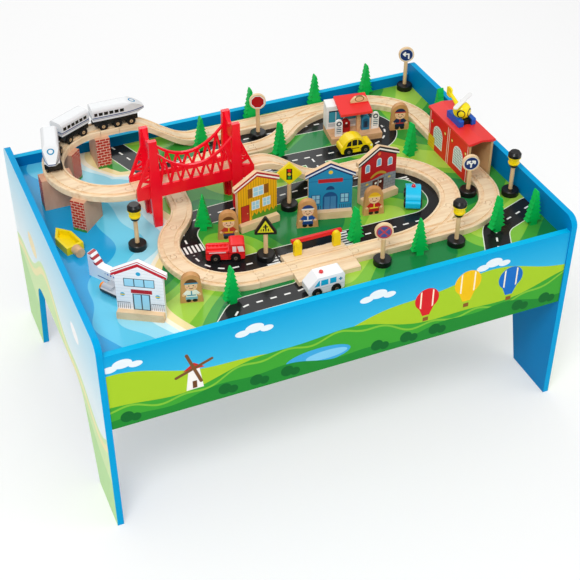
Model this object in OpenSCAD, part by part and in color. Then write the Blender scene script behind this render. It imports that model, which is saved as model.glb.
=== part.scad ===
// Wooden train table: a shallow box on panel legs that carries a grooved railway with two
// switches, a raised loop and a suspension bridge, and the houses, trees, signs, road
// vehicles and three car train that stand on it.
// +Z is up, +X runs along the front panel, and the origin is on the floor below the middle.

/* [Table] */
// Thickness of the table's panels
panel_t = 12; // [9:0.5:18]
// Height of the end panels above the floor
end_h = 425; // [380:5:500]
// Height of the front and back panels
side_h = 162; // [130:2:190]
// Drop of the front and back panels below the top of the end panels
side_drop = 28; // [10:1:40]
// Inset of the front and back panels from the edges of the end panels
side_inset = 2; // [0:0.5:6]
// Drop of the play board's face below the front and back panels
board_drop = 22; // [12:1:40]
// Thickness of the play board
board_t = 6; // [4:0.5:12]
// Free strip between the railway and each end panel
margin_x = 32; // [31:1:70]
// Free strip between the railway and the front panel
margin_front = 81; // [76:1:140]
// Free strip between the railway and the back panel
margin_back = 20.5; // [20:0.5:60]
// Width of a leg at the floor
leg_w = 113; // [90:1:150]
// Lean of a leg's inner edge over the height of the arch
leg_lean = 52; // [20:1:80]
// Distance from the arch up to the lower edge of the front and back panels
arch_drop = 30; // [10:1:60]
// Radius of the arch's upper corners
arch_r = 60; // [30:1:90]
// Radius of the end panels' top corners
corner_r = 22; // [8:1:40]
// Side of the square battens below the board
batten_s = 18; // [12:1:24]

/* [Railway] */
// Radius of a curved track along its middle
curve_r = 116; // [112:1:130]
// Radius of the bent branch of a switch
branch_r = 186; // [170:1:200]
// Straight lead of a switch before its branch bends
switch_lead = 32; // [28:1:40]
// Step from the inner loop's middle to the outer loop's along the table
ring_step = 73.5; // [70:0.5:84]
// Length of the raised straight behind the loop
high_l = 38; // [30:1:62]
// Length of a short straight track
short_l = 62; // [58:1:80]
// Length of the level crossing
cross_l = 120; // [112:1:140]
// Depth of the level crossing across the track
cross_w = 84; // [80:1:92]
// Length of a ramp
ramp_l = 176; // [160:1:200]
// Length of the suspension bridge
bridge_l = 228; // [215:1:245]
// Width of the track
track_w = 40; // [38:0.5:42]
// Thickness of the track
track_t = 12; // [10:0.5:15]
// Width of a wheel groove
groove_w = 6.4; // [6:0.1:7]
// Depth of a wheel groove
groove_d = 2.6; // [2.4:0.1:4]
// Distance between the middles of the two wheel grooves
gauge = 26; // [25:0.2:27]
// Height of the raised track's underside above the board
pier_h = 65; // [58:1:80]
// Size of a pier along the track
pier_w = 28; // [24:1:36]
// Size of a pier across the track
pier_l = 60; // [48:1:60]

/* [Bridge and crossing] */
// Height of the bridge towers above the board
bridge_h = 182; // [165:1:200]
// Thickness of the bridge's side walls
wall_t = 5; // [3:0.5:7]
// Thickness of the towers
tower_t = 9; // [6:0.5:11]
// Width of a tower at the girder
tower_w = 21; // [18:0.5:28]
// Height of the girder beside the track
girder_h = 24; // [20:1:30]
// Length of the barrier
barrier_l = 98; // [94:1:104]
// Height of a barrier post
post_h = 30; // [26:1:36]

/* [Scenery] */
// Height of a tree
tree_h = 74; // [60:1:90]
// Width of a tree
tree_w = 32; // [26:1:34]
// Thickness of a tree
tree_t = 13; // [8:1:14]
// Diameter of a sign's foot
foot_d = 33; // [26:0.5:33.5]
// Height of a sign's foot
foot_h = 12; // [8:0.5:16]
// Diameter of a sign's post
rod_d = 8; // [6:0.5:10]
// Height of a sign's post above the board
rod_h = 54; // [44:1:60]
// Height of the tall sign posts
tall_rod_h = 66; // [56:1:76]
// Width of a sign plate
plate_w = 33; // [26:1:38]
// Thickness of a sign plate
plate_t = 7; // [6:0.5:9]
// Height of a lamp
lamp_h = 95; // [84:1:110]
// Diameter of a lamp's cap
lamp_d = 25; // [20:1:30]
// Height of a figure
figure_h = 59; // [50:1:64]
// Width of a figure
figure_w = 40; // [32:1:42]
// Thickness of a figure
figure_t = 11; // [7:0.5:12]

/* [Houses] */
// Width of a house front
house_w = 82; // [74:1:86]
// Height of a house front
house_h = 116; // [104:1:126]
// Thickness of a house front
house_t = 9; // [8:0.5:15]
// Depth of the plinth before a house front
plinth_w = 11; // [7:0.5:12]
// Height of the plinth
plinth_h = 15; // [10:0.5:20]
// Length of the train shed
shed_l = 156; // [140:1:184]
// Clear width inside the train shed
shed_w = 43; // [42.5:0.25:44]
// Height of the train shed's walls
shed_h = 84; // [70:1:96]
// Thickness of the train shed's walls
shed_t = 5; // [4:0.5:7]
// Width of the filling station
station_w = 108; // [100:1:112]
// Depth of the filling station
station_d = 62; // [56:1:64]

/* [Vehicles] */
// Width of a road vehicle
auto_w = 28; // [26:0.5:30]
// Diameter of a road wheel
wheel_d = 17; // [15:0.5:18]
// Width of a road wheel
wheel_w = 5; // [4:0.25:6]
// Reach of a road wheel beyond the side of its vehicle
wheel_out = 2.5; // [0:0.25:3]
// Diameter of the cap on a wheel
cap_d = 6.5; // [5:0.5:8]
// Height of the cap on a wheel
cap_t = 0.8; // [0.5:0.1:1.2]
// Distance between the axles of a road vehicle
wheelbase = 36; // [35:0.5:40]
// Diameter of every axle
axle_d = 3; // [2.5:0.1:4]
// Length of the train's end cars
end_car_l = 106; // [100:1:108]
// Length of the train's middle car
mid_car_l = 72; // [66:1:73]
// Width of a train car
car_w = 32; // [29:0.5:33]
// Height of a train car above the rail
car_h = 48; // [42:0.5:52]
// Diameter of a train wheel
rail_wheel_d = 17.5; // [15:0.5:18]
// Width of a train wheel
rail_wheel_w = 3.6; // [3:0.1:4]

/* [Hidden] */
$fn = 48;
// Running gap of an axle or pin in its bore, gap between neighbouring pieces, and cut overrun
run_gap = 0.06;
gap = 0.4;
over = 1;

// Railway plan, first from the left end of the front line, then in the table's frame
c45 = cos(45);
bend_r = curve_r * (1 - c45);
run_l = 2 * short_l + cross_l;
in_dx = run_l + switch_lead + (branch_r - curve_r) * c45;
switch_l = switch_lead + (branch_r - curve_r) * c45 + ring_step;
out_dx = run_l + switch_l;
loop_dx = in_dx - short_l - ramp_l - bridge_l;
bridge_dy = branch_r * (1 - c45) + curve_r * (1 + c45);
back_dy = bridge_dy + 2 * curve_r;
long_l = run_l - loop_dx - high_l - ramp_l;
west_l = out_dx - switch_lead - (branch_r + curve_r) * c45 - 2 * bend_r;
inner_l = out_dx - loop_dx + 2 * curve_r + track_w + 2 * margin_x;
inner_w = back_dy + track_w + margin_front + margin_back;
line_x = -(out_dx + loop_dx) / 2;
line_y = -inner_w / 2 + margin_front + track_w / 2;
back_y = line_y + back_dy;
bridge_y = line_y + bridge_dy;
loop_x = line_x + loop_dx;
out_x = line_x + out_dx;

// Table
table_l = inner_l + 2 * panel_t;
table_w = inner_w + 2 * (panel_t + side_inset);
side_top = end_h - side_drop;
side_low = side_top - side_h;
board_z = side_top - board_drop;
arch_h = side_low - arch_drop;
raised_z = board_z + pier_h;
rail_z = raised_z + track_t;
cam_d = 15;
cam_t = 9;
bolt_d = 7;
bolt_reach = 8;
bolt_l = 34;
cam_height_shares = [0.25, 0.75];

// Anchor points of the plan, which the scenery is placed from
LEFT = [line_x, line_y + curve_r];
MID = [line_x + run_l / 2, line_y];
IN = [line_x + in_dx, bridge_y - curve_r];
OUT = [out_x, line_y + curve_r];
TOP = [out_x, back_y - curve_r];
LOOP = [loop_x, bridge_y + curve_r];
BACK = [line_x + run_l, back_y];
WEST = [line_x + 2 * bend_r, line_y + 2 * curve_r * (1 + c45)];
SHED = [out_x + curve_r, (OUT[1] + TOP[1]) / 2];
// Round feet stand beside a track, in the pocket between the loops, or by a wall
stand_gap = 1.8;
kerb_gap = 8;
forecourt_gap = 13;
foot_side = (track_w + foot_d) / 2 + stand_gap;
foot_wall = foot_d / 2 + stand_gap;
ring_d = norm(OUT - IN);
BESIDE_BACK = [BACK[0], back_y - foot_side];
BESIDE_LINE = [MID[0], line_y - foot_side];
BESIDE_OUT = [OUT[0], line_y - foot_side];
POCKET = IN + (OUT - IN) / ring_d * (curve_r + ring_d / 2);
CORNER = [inner_l / 2 - foot_wall, inner_w / 2 - foot_wall];
EDGE = [inner_l / 2 - foot_wall, OUT[1]];
PARK = [MID[0], line_y - (cross_w + auto_w) / 2 - wheel_out - kerb_gap];
// A place square to the front of a standing piece, some way before its middle
function before(place, d) =
    place[0] + curve_r * [place[1], place[2]] + d * [sin(place[3]), -cos(place[3])];

// Places as anchor, offsets in shares of the curve radius, and turn
tree_shares = [
    [WEST, -0.08, 0.43, 0], [BACK, -0.45, 0.26, 0], [WEST, 1.10, -0.28, 15], [BACK, 0.81, 0.26, 0],
    [BACK, 1.84, 0.25, 0], [IN, 0.95, 1.07, 10], [TOP, 1.33, -0.06, 90], [OUT, 0.55, -1.26, 10],
    [OUT, 1.18, -1.32, 0], [OUT, -0.86, -1.33, -10], [MID, 0.75, 0.34, 10], [LEFT, -0.28, 0.58, -20],
    [LEFT, -0.51, -1.31, 5]];
sign_shares = [
    [BESIDE_BACK, -0.54, 0, -18], [CORNER, 0, 0, -20], [POCKET, 0, 0, -15], [BESIDE_LINE, 0.89, 0, -20],
    [LEFT, 1.21, 0.60, -20], [LEFT, 0.35, -0.51, -20]];
lamp_shares = [[LEFT, -1.39, 0.52, 0], [EDGE, 0, -0.45, 0], [BESIDE_OUT, -0.21, 0, 0]];
figure_shares = [
    [LEFT, 0.01, 0.21, -15], [LEFT, -1.05, -1.05, -15], [IN, -1.53, -0.16, -15], [IN, -0.41, -0.25, -10],
    [TOP, 0.54, -0.06, -15]];
hospital_share = [LEFT, -1.82, -1.09, -31];
cottage_share = [LEFT, 0.56, 0.40, 8];
police_share = [IN, -1.07, 0, -15];
fire_share = [IN, -0.16, 0.15, 10];
station_share = [TOP, -0.30, 0.10, -8];
FORECOURT = before(station_share, (station_d + auto_w) / 2 + wheel_out + forecourt_gap);
taxi_share = [FORECOURT, -0.135, 0, -5];
truck_share = [LEFT, -0.22, -0.25, -18];
ambulance_share = [PARK, -0.21, 0, 0];
patrol_share = [IN, 0.33, -0.21, 63];
boat_share = [LOOP, -1.18, -1.12, 105];
plane_share = [LEFT, -1.93, -0.28, -58];
shed_shift_share = -0.306;
heli_shift_share = 0.03;

WOOD = "burlywood";

// Shared shapes

// A flat outline, drawn across and up, made a bar that runs along +X
module along_x(length) {
    rotate([90, 0, 90]) linear_extrude(length) children();
}

// A flat outline, drawn along X and up, made a slab of the given depth centred on Y
module upright(depth) {
    translate([0, depth / 2, 0]) rotate([90, 0, 0]) linear_extrude(depth) children();
}

module round_rect(w, h, r) {
    translate([-w / 2 + r, 0]) square([w - 2 * r, h]);
    translate([-w / 2, r]) square([w, h - 2 * r]);
    for (x = [-w / 2 + r, w / 2 - r], y = [r, h - r])
        translate([x, y]) circle(r);
}

module dome(w, h) {
    translate([-w / 2, 0]) square([w, h - w / 2]);
    translate([0, h - w / 2]) circle(d = w);
}

// A flat bar of width w from p to q, with round ends
module bar(p, q, w) {
    d = q - p;
    translate(p) rotate(atan2(d[1], d[0])) translate([0, -w / 2]) square([norm(d), w]);
    for (e = [p, q])
        translate(e) circle(d = w);
}

// Children stood on the board at a place of the tables above
module stand(place, lift = 0) {
    at = place[0] + curve_r * [place[1], place[2]];
    translate([at[0], at[1], board_z + lift]) rotate(place[3]) children();
}

// Table

module arch_outline() {
    half = table_w / 2 - leg_w;
    lean = atan(leg_lean / arch_h);
    corner = [half - leg_lean * (arch_h - arch_r) / arch_h - arch_r / cos(lean), arch_h - arch_r];
    side = corner + arch_r * [cos(lean), sin(lean)];
    polygon([
        [-half, -over], [half, -over], [half, 0], side, [corner[0], arch_h],
        [-corner[0], arch_h], [-side[0], side[1]], [-half, 0]]);
    for (x = [-corner[0], corner[0]])
        translate([x, corner[1]]) circle(arch_r, $fn = 96);
}

module end_panel_outline() {
    difference() {
        union() {
            translate([-table_w / 2, 0]) square([table_w, end_h - corner_r]);
            translate([-table_w / 2 + corner_r, 0]) square([table_w - 2 * corner_r, end_h]);
            for (y = [-table_w / 2 + corner_r, table_w / 2 - corner_r])
                translate([y, end_h - corner_r]) circle(corner_r, $fn = 96);
        }
        arch_outline();
    }
}

// Middles of the bolts that join the end panels to the front and back panels
module bolt_places(side) {
    for (y = [-1, 1] * (inner_w + panel_t) / 2, share = cam_height_shares)
        translate([side * inner_l / 2, y, side_low + side_h * share])
            rotate([0, side * 90, 0]) children();
}

module end_panel(side) {
    color("deepskyblue") difference() {
        translate([side * inner_l / 2 + min(0, side * panel_t), 0, 0])
            along_x(panel_t) end_panel_outline();
        bolt_places(side) translate([0, 0, -over]) cylinder(d = bolt_d, h = bolt_reach + over);
    }
}

module end_panel_left() {
    end_panel(-1);
}

module end_panel_right() {
    end_panel(1);
}

module side_panel(side) {
    color("dodgerblue") difference() {
        translate([-inner_l / 2, side * (inner_w + panel_t) / 2 - panel_t / 2, side_low])
            cube([inner_l, panel_t, side_h]);
        for (s = [-1, 1])
            bolt_places(s) cam_bore();
    }
}

// Bore of a bolt and the pocket of its cam, which opens to the inside of the table
module cam_bore() {
    translate([0, 0, -bolt_l]) cylinder(d = bolt_d + gap, h = bolt_l + over);
    translate([0, 0, -bolt_l]) rotate([90, 0, 0])
        cylinder(d = cam_d + gap, h = cam_t + gap, center = true);
}

module side_panel_front() {
    side_panel(-1);
}

module side_panel_back() {
    side_panel(1);
}

module play_board() {
    color("yellowgreen") translate([-inner_l / 2, -inner_w / 2, board_z - board_t])
        cube([inner_l, inner_w, board_t]);
}

module board_battens() {
    color(WOOD) for (side = [-1, 1])
        translate([-inner_l / 2, side * (inner_w - batten_s) / 2 - batten_s / 2,
            board_z - board_t - batten_s])
            cube([inner_l, batten_s, batten_s]);
}

module cross_rail() {
    color(WOOD) for (x = [-inner_l / 6, inner_l / 6])
        translate([x - batten_s / 2, -inner_w / 2 + batten_s, board_z - board_t - 2 * batten_s])
            cube([batten_s, inner_w - 2 * batten_s, 2 * batten_s]);
}

module cam_fittings() {
    color("silver") for (side = [-1, 1])
        bolt_places(side) {
            translate([0, 0, -bolt_l]) cylinder(d = bolt_d, h = bolt_l + bolt_reach);
            translate([0, 0, -bolt_l]) rotate([90, 0, 0]) cylinder(d = cam_d, h = cam_t, center = true);
        }
}

// Railway

peg_r = 5.4;
peg_neck_w = 6;
peg_reach = 8;
peg_root = 3;
peg_gap = 0.8;
butt_gap = 0.8;
track_edge = 1;
ramp_level_share = 0.1;
ramp_steps = 16;
// A branch is a little slimmer than the straight it leaves, on each side
branch_slim = 0.4;

// Places along the line are [x, y, heading]
function ahead(p, d) = [p[0] + d * cos(p[2]), p[1] + d * sin(p[2]), p[2]];
function turned(p, r, a) =
    let (s = sign(a), h = p[2])
    [p[0] + s * r * (sin(h + a) - sin(h)), p[1] - s * r * (cos(h + a) - cos(h)), h + a];
// A piece is [kind, length] or [kind, angle]
STRAIGHT = 0;
CURVE = 1;
function after(p, piece) = piece[0] == STRAIGHT ? ahead(p, piece[1]) : turned(p, curve_r, piece[1]);

module to(p) {
    translate([p[0], p[1], 0]) rotate(p[2]) children();
}

// Section of the track with its two wheel grooves and eased edges
module track_section() {
    g = gauge / 2;
    w = track_w / 2;
    polygon([
        [-w, 0], [w, 0], [w, track_t - track_edge], [w - track_edge, track_t],
        [g + groove_w / 2, track_t], [g + groove_w / 2, track_t - groove_d],
        [g - groove_w / 2, track_t - groove_d], [g - groove_w / 2, track_t],
        [-g + groove_w / 2, track_t], [-g + groove_w / 2, track_t - groove_d],
        [-g - groove_w / 2, track_t - groove_d], [-g - groove_w / 2, track_t],
        [-w + track_edge, track_t], [-w, track_t - track_edge]]);
}

// An outline swept round a left bend that starts at the origin along +X
module bend(r, a) {
    trim = butt_gap / 2 / r * 180 / PI;
    translate([0, r, 0]) rotate(trim - 90) rotate_extrude(angle = a - 2 * trim, $fn = 128)
        translate([r, 0]) children();
}

module peg_outline(slack) {
    translate([-peg_root, -peg_neck_w / 2 - slack])
        square([peg_root + peg_reach, peg_neck_w + 2 * slack]);
    translate([peg_reach, 0]) circle(peg_r + slack);
}

module peg() {
    linear_extrude(track_t) peg_outline(0);
}

module socket() {
    translate([0, 0, -over]) linear_extrude(track_t + 2 * over) peg_outline(peg_gap);
}

// A track body with a socket at its start and a peg at its end
module jointed(end) {
    difference() {
        children();
        socket();
    }
    to(end) peg();
}

module straight_track(length) {
    jointed([length, 0, 0])
        translate([butt_gap / 2, 0, 0]) along_x(length - butt_gap) track_section();
}

module curved_track(angle) {
    mirror([0, angle < 0 ? 1 : 0, 0])
        jointed(turned([0, 0, 0], curve_r, abs(angle))) bend(curve_r, abs(angle)) track_section();
}

// Pieces laid one after another from a place
module lay(p, pieces, i = 0) {
    if (i < len(pieces)) {
        piece = pieces[i];
        to(p) if (piece[0] == STRAIGHT) straight_track(piece[1]);
        else curved_track(piece[1]);
        lay(after(p, piece), pieces, i + 1);
    }
}

// A run of bends of 45 degrees
function bends(count, angle) = [for (i = [1 : count]) [CURVE, angle]];

front_start = [line_x, line_y, 0];
toe_1 = ahead(front_start, run_l);
toe_2 = [out_x, back_y, 180];
function branch_end(p) = turned(ahead(p, switch_lead), branch_r, 45);

module ground_track() {
    color(WOOD) translate([0, 0, board_z]) {
        lay(front_start, [[STRAIGHT, short_l]]);
        lay(ahead(front_start, short_l + cross_l), [[STRAIGHT, short_l]]);
        lay(ahead(toe_1, switch_l), concat(bends(2, 45),
            [[STRAIGHT, bridge_dy / 2], [STRAIGHT, bridge_dy / 2]], bends(2, 45)));
        lay(branch_end(toe_1), concat(bends(3, 45), [[STRAIGHT, short_l]]));
        lay(branch_end(toe_2), concat(bends(1, -45), [[STRAIGHT, west_l]], bends(2, 45),
            bends(1, -45), bends(3, 45)));
        lay([BACK[0] - long_l, back_y, 0], [[STRAIGHT, long_l]]);
    }
}

// Plan of a strip beside the middle line of both branches of a switch; the bent one is slimmer
module branch_plan(side, w) {
    trim = butt_gap / 2 / branch_r * 180 / PI;
    translate([butt_gap / 2, side - w / 2]) square([switch_l - butt_gap, w]);
    translate([switch_lead, branch_r]) rotate(-90) intersection() {
        difference() {
            circle(branch_r - side + w / 2 - branch_slim, $fn = 256);
            circle(branch_r - side - w / 2 + branch_slim, $fn = 256);
        }
        polygon([
            [0, 0], 2 * branch_r * [cos(trim), sin(trim)],
            2 * branch_r * [cos(45 - trim), sin(45 - trim)]]);
    }
}

// A switch from its toe, with a straight and a bent branch; far_socket hollows the straight end
module switch_track(far_socket) {
    difference() {
        linear_extrude(track_t) {
            branch_plan(0, track_w);
            to(branch_end([0, 0, 0])) peg_outline(0);
            if (!far_socket) translate([switch_l, 0]) peg_outline(0);
        }
        translate([0, 0, track_t - groove_d]) linear_extrude(groove_d + over) {
            branch_plan(-gauge / 2, groove_w);
            branch_plan(gauge / 2, groove_w);
        }
        socket();
        if (far_socket) translate([switch_l, 0, 0]) rotate(180) socket();
    }
}

module switch_tracks() {
    color(WOOD) translate([0, 0, board_z]) {
        to(toe_1) switch_track(false);
        to(toe_2) switch_track(true);
    }
}

module raised_track() {
    color(WOOD) translate([0, 0, raised_z])
        lay([loop_x + bridge_l, bridge_y, 180],
            concat([[STRAIGHT, bridge_l]], bends(4, -45), [[STRAIGHT, high_l]]));
}

// Rise of a ramp's underside at a share of its length: level, an even swing up, and level again
function rise(u) =
    let (v = min(max((u - ramp_level_share) / (1 - 2 * ramp_level_share), 0), 1))
    pier_h * (1 - cos(180 * v)) / 2;
ramp_spots = concat([0], [for (i = [0 : ramp_steps])
    ramp_level_share + (1 - 2 * ramp_level_share) * i / ramp_steps], [1]);

// Outline of a ramp's side between two heights above its underside
module ramp_side(low, high) {
    function x(u) = butt_gap / 2 + u * (ramp_l - butt_gap);
    polygon(concat(
        [for (u = ramp_spots) [x(u), rise(u) + low]],
        [for (i = [len(ramp_spots) - 1 : -1 : 0]) [x(ramp_spots[i]), rise(ramp_spots[i]) + high]]));
}

// A ramp that climbs along +X; down is true where the line runs down it
module ramp_track(down) {
    difference() {
        union() {
            upright(track_w) ramp_side(0, track_t);
            if (down) rotate(180) peg();
            else translate([ramp_l, 0, pier_h]) peg();
        }
        for (y = [-gauge / 2, gauge / 2])
            translate([0, y, 0]) upright(groove_w) ramp_side(track_t - groove_d, track_t + over);
        if (down) translate([ramp_l, 0, pier_h]) rotate(180) socket();
        else socket();
    }
}

module ramp_tracks() {
    color(WOOD) translate([0, 0, board_z]) {
        translate([IN[0] - short_l, bridge_y, 0]) rotate(180) ramp_track(false);
        translate([BACK[0] - long_l, back_y, 0]) rotate(180) ramp_track(true);
    }
}

cross_lip = 9;

// The crossing: a track with a sloping apron on each side
module crossing_track() {
    color(WOOD) translate([line_x + short_l, line_y, board_z]) {
        jointed([cross_l, 0, 0]) translate([butt_gap / 2, 0, 0]) along_x(cross_l - butt_gap) {
            track_section();
            for (s = [-1, 1])
                polygon([[s * track_w / 2, 0], [s * cross_w / 2, 0], [s * cross_w / 2, cross_lip],
                    [s * (track_w / 2 - track_edge), track_t - track_edge]]);
        }
    }
}

// Bridge, piers and barrier

tower_share = 0.345;
tower_top_w = 15;
leg_foot_w = 15;
girder_drop = 3;
wall_gap = 0.8;
cable_w = 5;
cable_high_share = 0.9;
cable_low_share = 0.63;
stay_high_share = 0.88;
lattice_w = 3.6;
lattice_count = 7;
stay_count = 3;
portal_t = 7;
portal_low_share = 0.78;
saddle_share = 0.92;
cable_steps = 14;
tower_x = bridge_l * tower_share;
girder_z = pier_h - girder_drop;
girder_top = girder_z + girder_h;
wall_y = track_w / 2 + wall_gap;
function cable_z(x) =
    bridge_h * (cable_low_share + (cable_high_share - cable_low_share) * pow(x / tower_x, 2));

module tower_outline() {
    for (s = [-1, 1])
        translate([s * tower_x, 0])
            polygon([
                [-leg_foot_w / 2, 0], [leg_foot_w / 2, 0],
                [tower_w / 2, girder_z], [tower_w / 2, girder_top],
                [tower_top_w / 2, bridge_h * cable_high_share], [tower_top_w / 2, bridge_h],
                [-tower_top_w / 2, bridge_h], [-tower_top_w / 2, bridge_h * cable_high_share],
                [-tower_w / 2, girder_top], [-tower_w / 2, girder_z]]);
}

// Side wall: girder, sagging cable, end stays and the lattice between them
module bridge_wall_outline() {
    span = tower_x - tower_w / 2;
    step = 2 * span / lattice_count;
    stay_z = bridge_h * stay_high_share;
    end_x = bridge_l / 2 - gap;
    translate([-end_x, girder_z]) square([2 * end_x, girder_h]);
    cable = [for (i = [0 : cable_steps]) tower_x * (2 * i / cable_steps - 1)];
    polygon(concat(
        [for (x = cable) [x, cable_z(x)]],
        [for (i = [cable_steps : -1 : 0]) [cable[i], cable_z(cable[i]) - cable_w]]));
    for (i = [0 : lattice_count - 1], s = [0, 1]) {
        foot = -span + step * (i + s);
        head = -span + step * (i + 1 / 2);
        bar([foot, girder_top - lattice_w / 2], [head, cable_z(head) - cable_w / 2], lattice_w);
    }
    for (s = [-1, 1]) {
        tip = [s * (end_x - cable_w / 2), girder_top - cable_w / 2];
        peak = [s * tower_x, stay_z];
        bar(tip, peak, cable_w);
        for (i = [0 : stay_count - 1]) {
            knot = tip + (peak - tip) * i / (stay_count + 1);
            next = tip + (peak - tip) * (i + 1) / (stay_count + 1);
            post = [s * tower_x, (knot[1] + next[1]) / 2];
            bar(knot, post, lattice_w);
            bar(post, next, lattice_w);
        }
    }
}

module portal_outline() {
    low = bridge_h * portal_low_share;
    dip = bridge_h * (1 - saddle_share);
    sag_r = (wall_y * wall_y + dip * dip) / (2 * dip);
    difference() {
        translate([-wall_y - over, low]) square([2 * (wall_y + over), bridge_h - low]);
        translate([0, bridge_h - dip + sag_r]) circle(sag_r, $fn = 128);
    }
}

// Plate between the legs that carries the track, with a round topped opening
module trestle_outline() {
    difference() {
        translate([-wall_y - over, 0]) square([2 * (wall_y + over), pier_h]);
        translate([0, -over]) dome(2 * wall_y - tower_t, pier_h - tower_t + over);
    }
}

module suspension_bridge() {
    color("red") translate([loop_x + bridge_l / 2, bridge_y, board_z]) {
        for (s = [-1, 1]) {
            translate([0, s * (wall_y + wall_t / 2), 0]) upright(wall_t) bridge_wall_outline();
            translate([0, s * (wall_y + tower_t / 2), 0]) upright(tower_t) tower_outline();
            translate([s * tower_x - portal_t / 2, 0, 0]) along_x(portal_t) {
                portal_outline();
                trestle_outline();
            }
        }
    }
}

module bridge_piers() {
    color(WOOD) for (a = [90 : 45 : 225])
        translate([LOOP[0], LOOP[1], board_z]) rotate(a)
            translate([curve_r - pier_l / 2, -pier_w / 2, 0]) cube([pier_l, pier_w, pier_h]);
}

barrier_w = 7;
barrier_t = 6;
pivot_d = 5;
post_w = 14;
post_t = 8;
post_span = 76;
pivot_shift = 9;
rest_t = 3;
pivot_head_d = 9;
pivot_head_t = 1.6;
barrier_edge = cross_w / 2 - post_t / 2 - barrier_t - 2 * gap;
apron_w = (cross_w - track_w) / 2;
barrier_floor = cross_lip + (track_t - cross_lip) * (cross_w / 2 - barrier_edge) / apron_w;
pivot_z = post_h - barrier_w / 2 - rest_t / 2;
post_shift = 7;
post_x = MID[0] + post_shift - post_span / 2;
post_y = line_y + barrier_edge;

// Two posts on the crossing's back apron: the left one holds the pivot, the right one a rest
module barrier_posts() {
    color("gold") translate([0, post_y, board_z]) difference() {
        union() {
            for (x = [post_x, post_x + post_span])
                translate([x, 0, 0]) upright(post_t) dome(post_w, post_h + barrier_floor);
            translate([post_x + post_span - post_w / 2, 0,
                barrier_floor + pivot_z - barrier_w / 2 - gap - rest_t])
                cube([post_w, post_t / 2 + gap + barrier_t, rest_t]);
        }
        // Foot cut to the apron's slope
        translate([0, -barrier_edge, 0]) rotate([90, 0, 90])
            translate([0, 0, post_x - post_span]) linear_extrude(3 * post_span)
                polygon([[0, -over], [cross_w, -over], [cross_w / 2, cross_lip],
                    [track_w / 2, track_t], [0, track_t]]);
        translate([post_x, 0, barrier_floor + pivot_z]) rotate([90, 0, 0])
            cylinder(d = pivot_d + 2 * run_gap, h = 2 * post_t, center = true);
    }
}

// The bar, with the pivot pin that runs through the left post and ends in a head
module barrier() {
    color("red") translate([post_x, post_y, board_z + barrier_floor + pivot_z]) {
        translate([-pivot_shift, post_t / 2 + gap + barrier_t / 2, -barrier_w / 2])
            translate([barrier_l / 2, 0, 0]) upright(barrier_t)
                round_rect(barrier_l, barrier_w, barrier_w / 4);
        translate([0, post_t / 2 + gap + barrier_t / 2, 0]) rotate([90, 0, 0])
            cylinder(d = pivot_d, h = post_t + 2 * gap + barrier_t / 2);
        translate([0, -post_t / 2 - gap, 0]) rotate([90, 0, 0])
            cylinder(d = pivot_head_d, h = pivot_head_t);
    }
}

// Scenery

tree_tiers = 7;
tree_notch_share = 0.38;
trunk_w = 13;
trunk_h_share = 0.13;
tree_top_w = 4;

// Saw edged outline of a tree, its tiers narrowing to a flat top
module tree_outline() {
    trunk_h = tree_h * trunk_h_share;
    tier_h = (tree_h - trunk_h) / tree_tiers;
    function half(i) = (tree_top_w + (tree_w - tree_top_w) * (tree_tiers - i) / tree_tiers) / 2;
    edge = [for (i = [0 : tree_tiers - 1], k = [0, 1])
        [half(i + k) - (k == 1 ? tree_w * tree_notch_share / 2 * (tree_tiers - i) / tree_tiers : 0),
            trunk_h + (i + k) * tier_h]];
    polygon(concat(
        [[-trunk_w / 2, 0], [trunk_w / 2, 0], [trunk_w / 2, trunk_h]], edge,
        [for (i = [len(edge) - 1 : -1 : 0]) [-edge[i][0], edge[i][1]]], [[-trunk_w / 2, trunk_h]]));
}

module trees() {
    color("limegreen") for (place = tree_shares)
        stand(place) upright(tree_t) tree_outline();
}

foot_edge = 1.5;
plate_socket = 8;
pin_d = 4;

module foot() {
    cylinder(d = foot_d, h = foot_h - foot_edge);
    translate([0, 0, foot_h - foot_edge])
        cylinder(d1 = foot_d, d2 = foot_d - 2 * foot_edge, h = foot_edge);
}

sign_rods = [tall_rod_h, tall_rod_h, rod_h, rod_h, rod_h, rod_h];
lamp_head_share = 0.34;
lamp_head_z = lamp_h * (1 - lamp_head_share);

module post_stands() {
    color("dimgray") {
        for (i = [0 : len(sign_shares) - 1])
            stand(sign_shares[i]) {
                foot();
                cylinder(d = rod_d, h = sign_rods[i]);
                cylinder(d = pin_d, h = sign_rods[i] + plate_socket);
            }
        for (place = lamp_shares)
            stand(place) {
                foot();
                cylinder(d = rod_d, h = lamp_head_z);
                cylinder(d = pin_d, h = lamp_head_z + plate_socket);
            }
    }
}

// Bore of a post in the plate or head that sits on it
module post_bore() {
    translate([0, 0, -over]) cylinder(d = pin_d + 2 * run_gap, h = plate_socket + over + gap);
}

plate_shapes = [0, 0, 0, 0, 1, 2];
triangle_edge = 2.5;
triangle_share = 0.6;

// Round, diamond and three cornered sign plates
module plate_outline(kind) {
    if (kind == 0)
        translate([0, plate_w / 2]) circle(d = plate_w);
    if (kind == 1)
        translate([0, plate_w * sqrt(2) / 2]) rotate(45) square(plate_w, center = true);
    if (kind == 2) {
        r = triangle_edge;
        half = plate_w * triangle_share - r;
        polygon([[-half, 0], [half, 0], [half + r * cos(30), r + r * sin(30)],
            [r * cos(30), half * sqrt(3) + r + r * sin(30)],
            [-r * cos(30), half * sqrt(3) + r + r * sin(30)], [-half - r * cos(30), r + r * sin(30)]]);
        for (p = [[-half, r], [half, r], [0, half * sqrt(3) + r]])
            translate(p) circle(r);
    }
}

module sign_plates() {
    color(WOOD) for (i = [0 : len(sign_shares) - 1])
        stand(sign_shares[i], sign_rods[i]) difference() {
            upright(plate_t) plate_outline(plate_shapes[i]);
            post_bore();
        }
}

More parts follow.
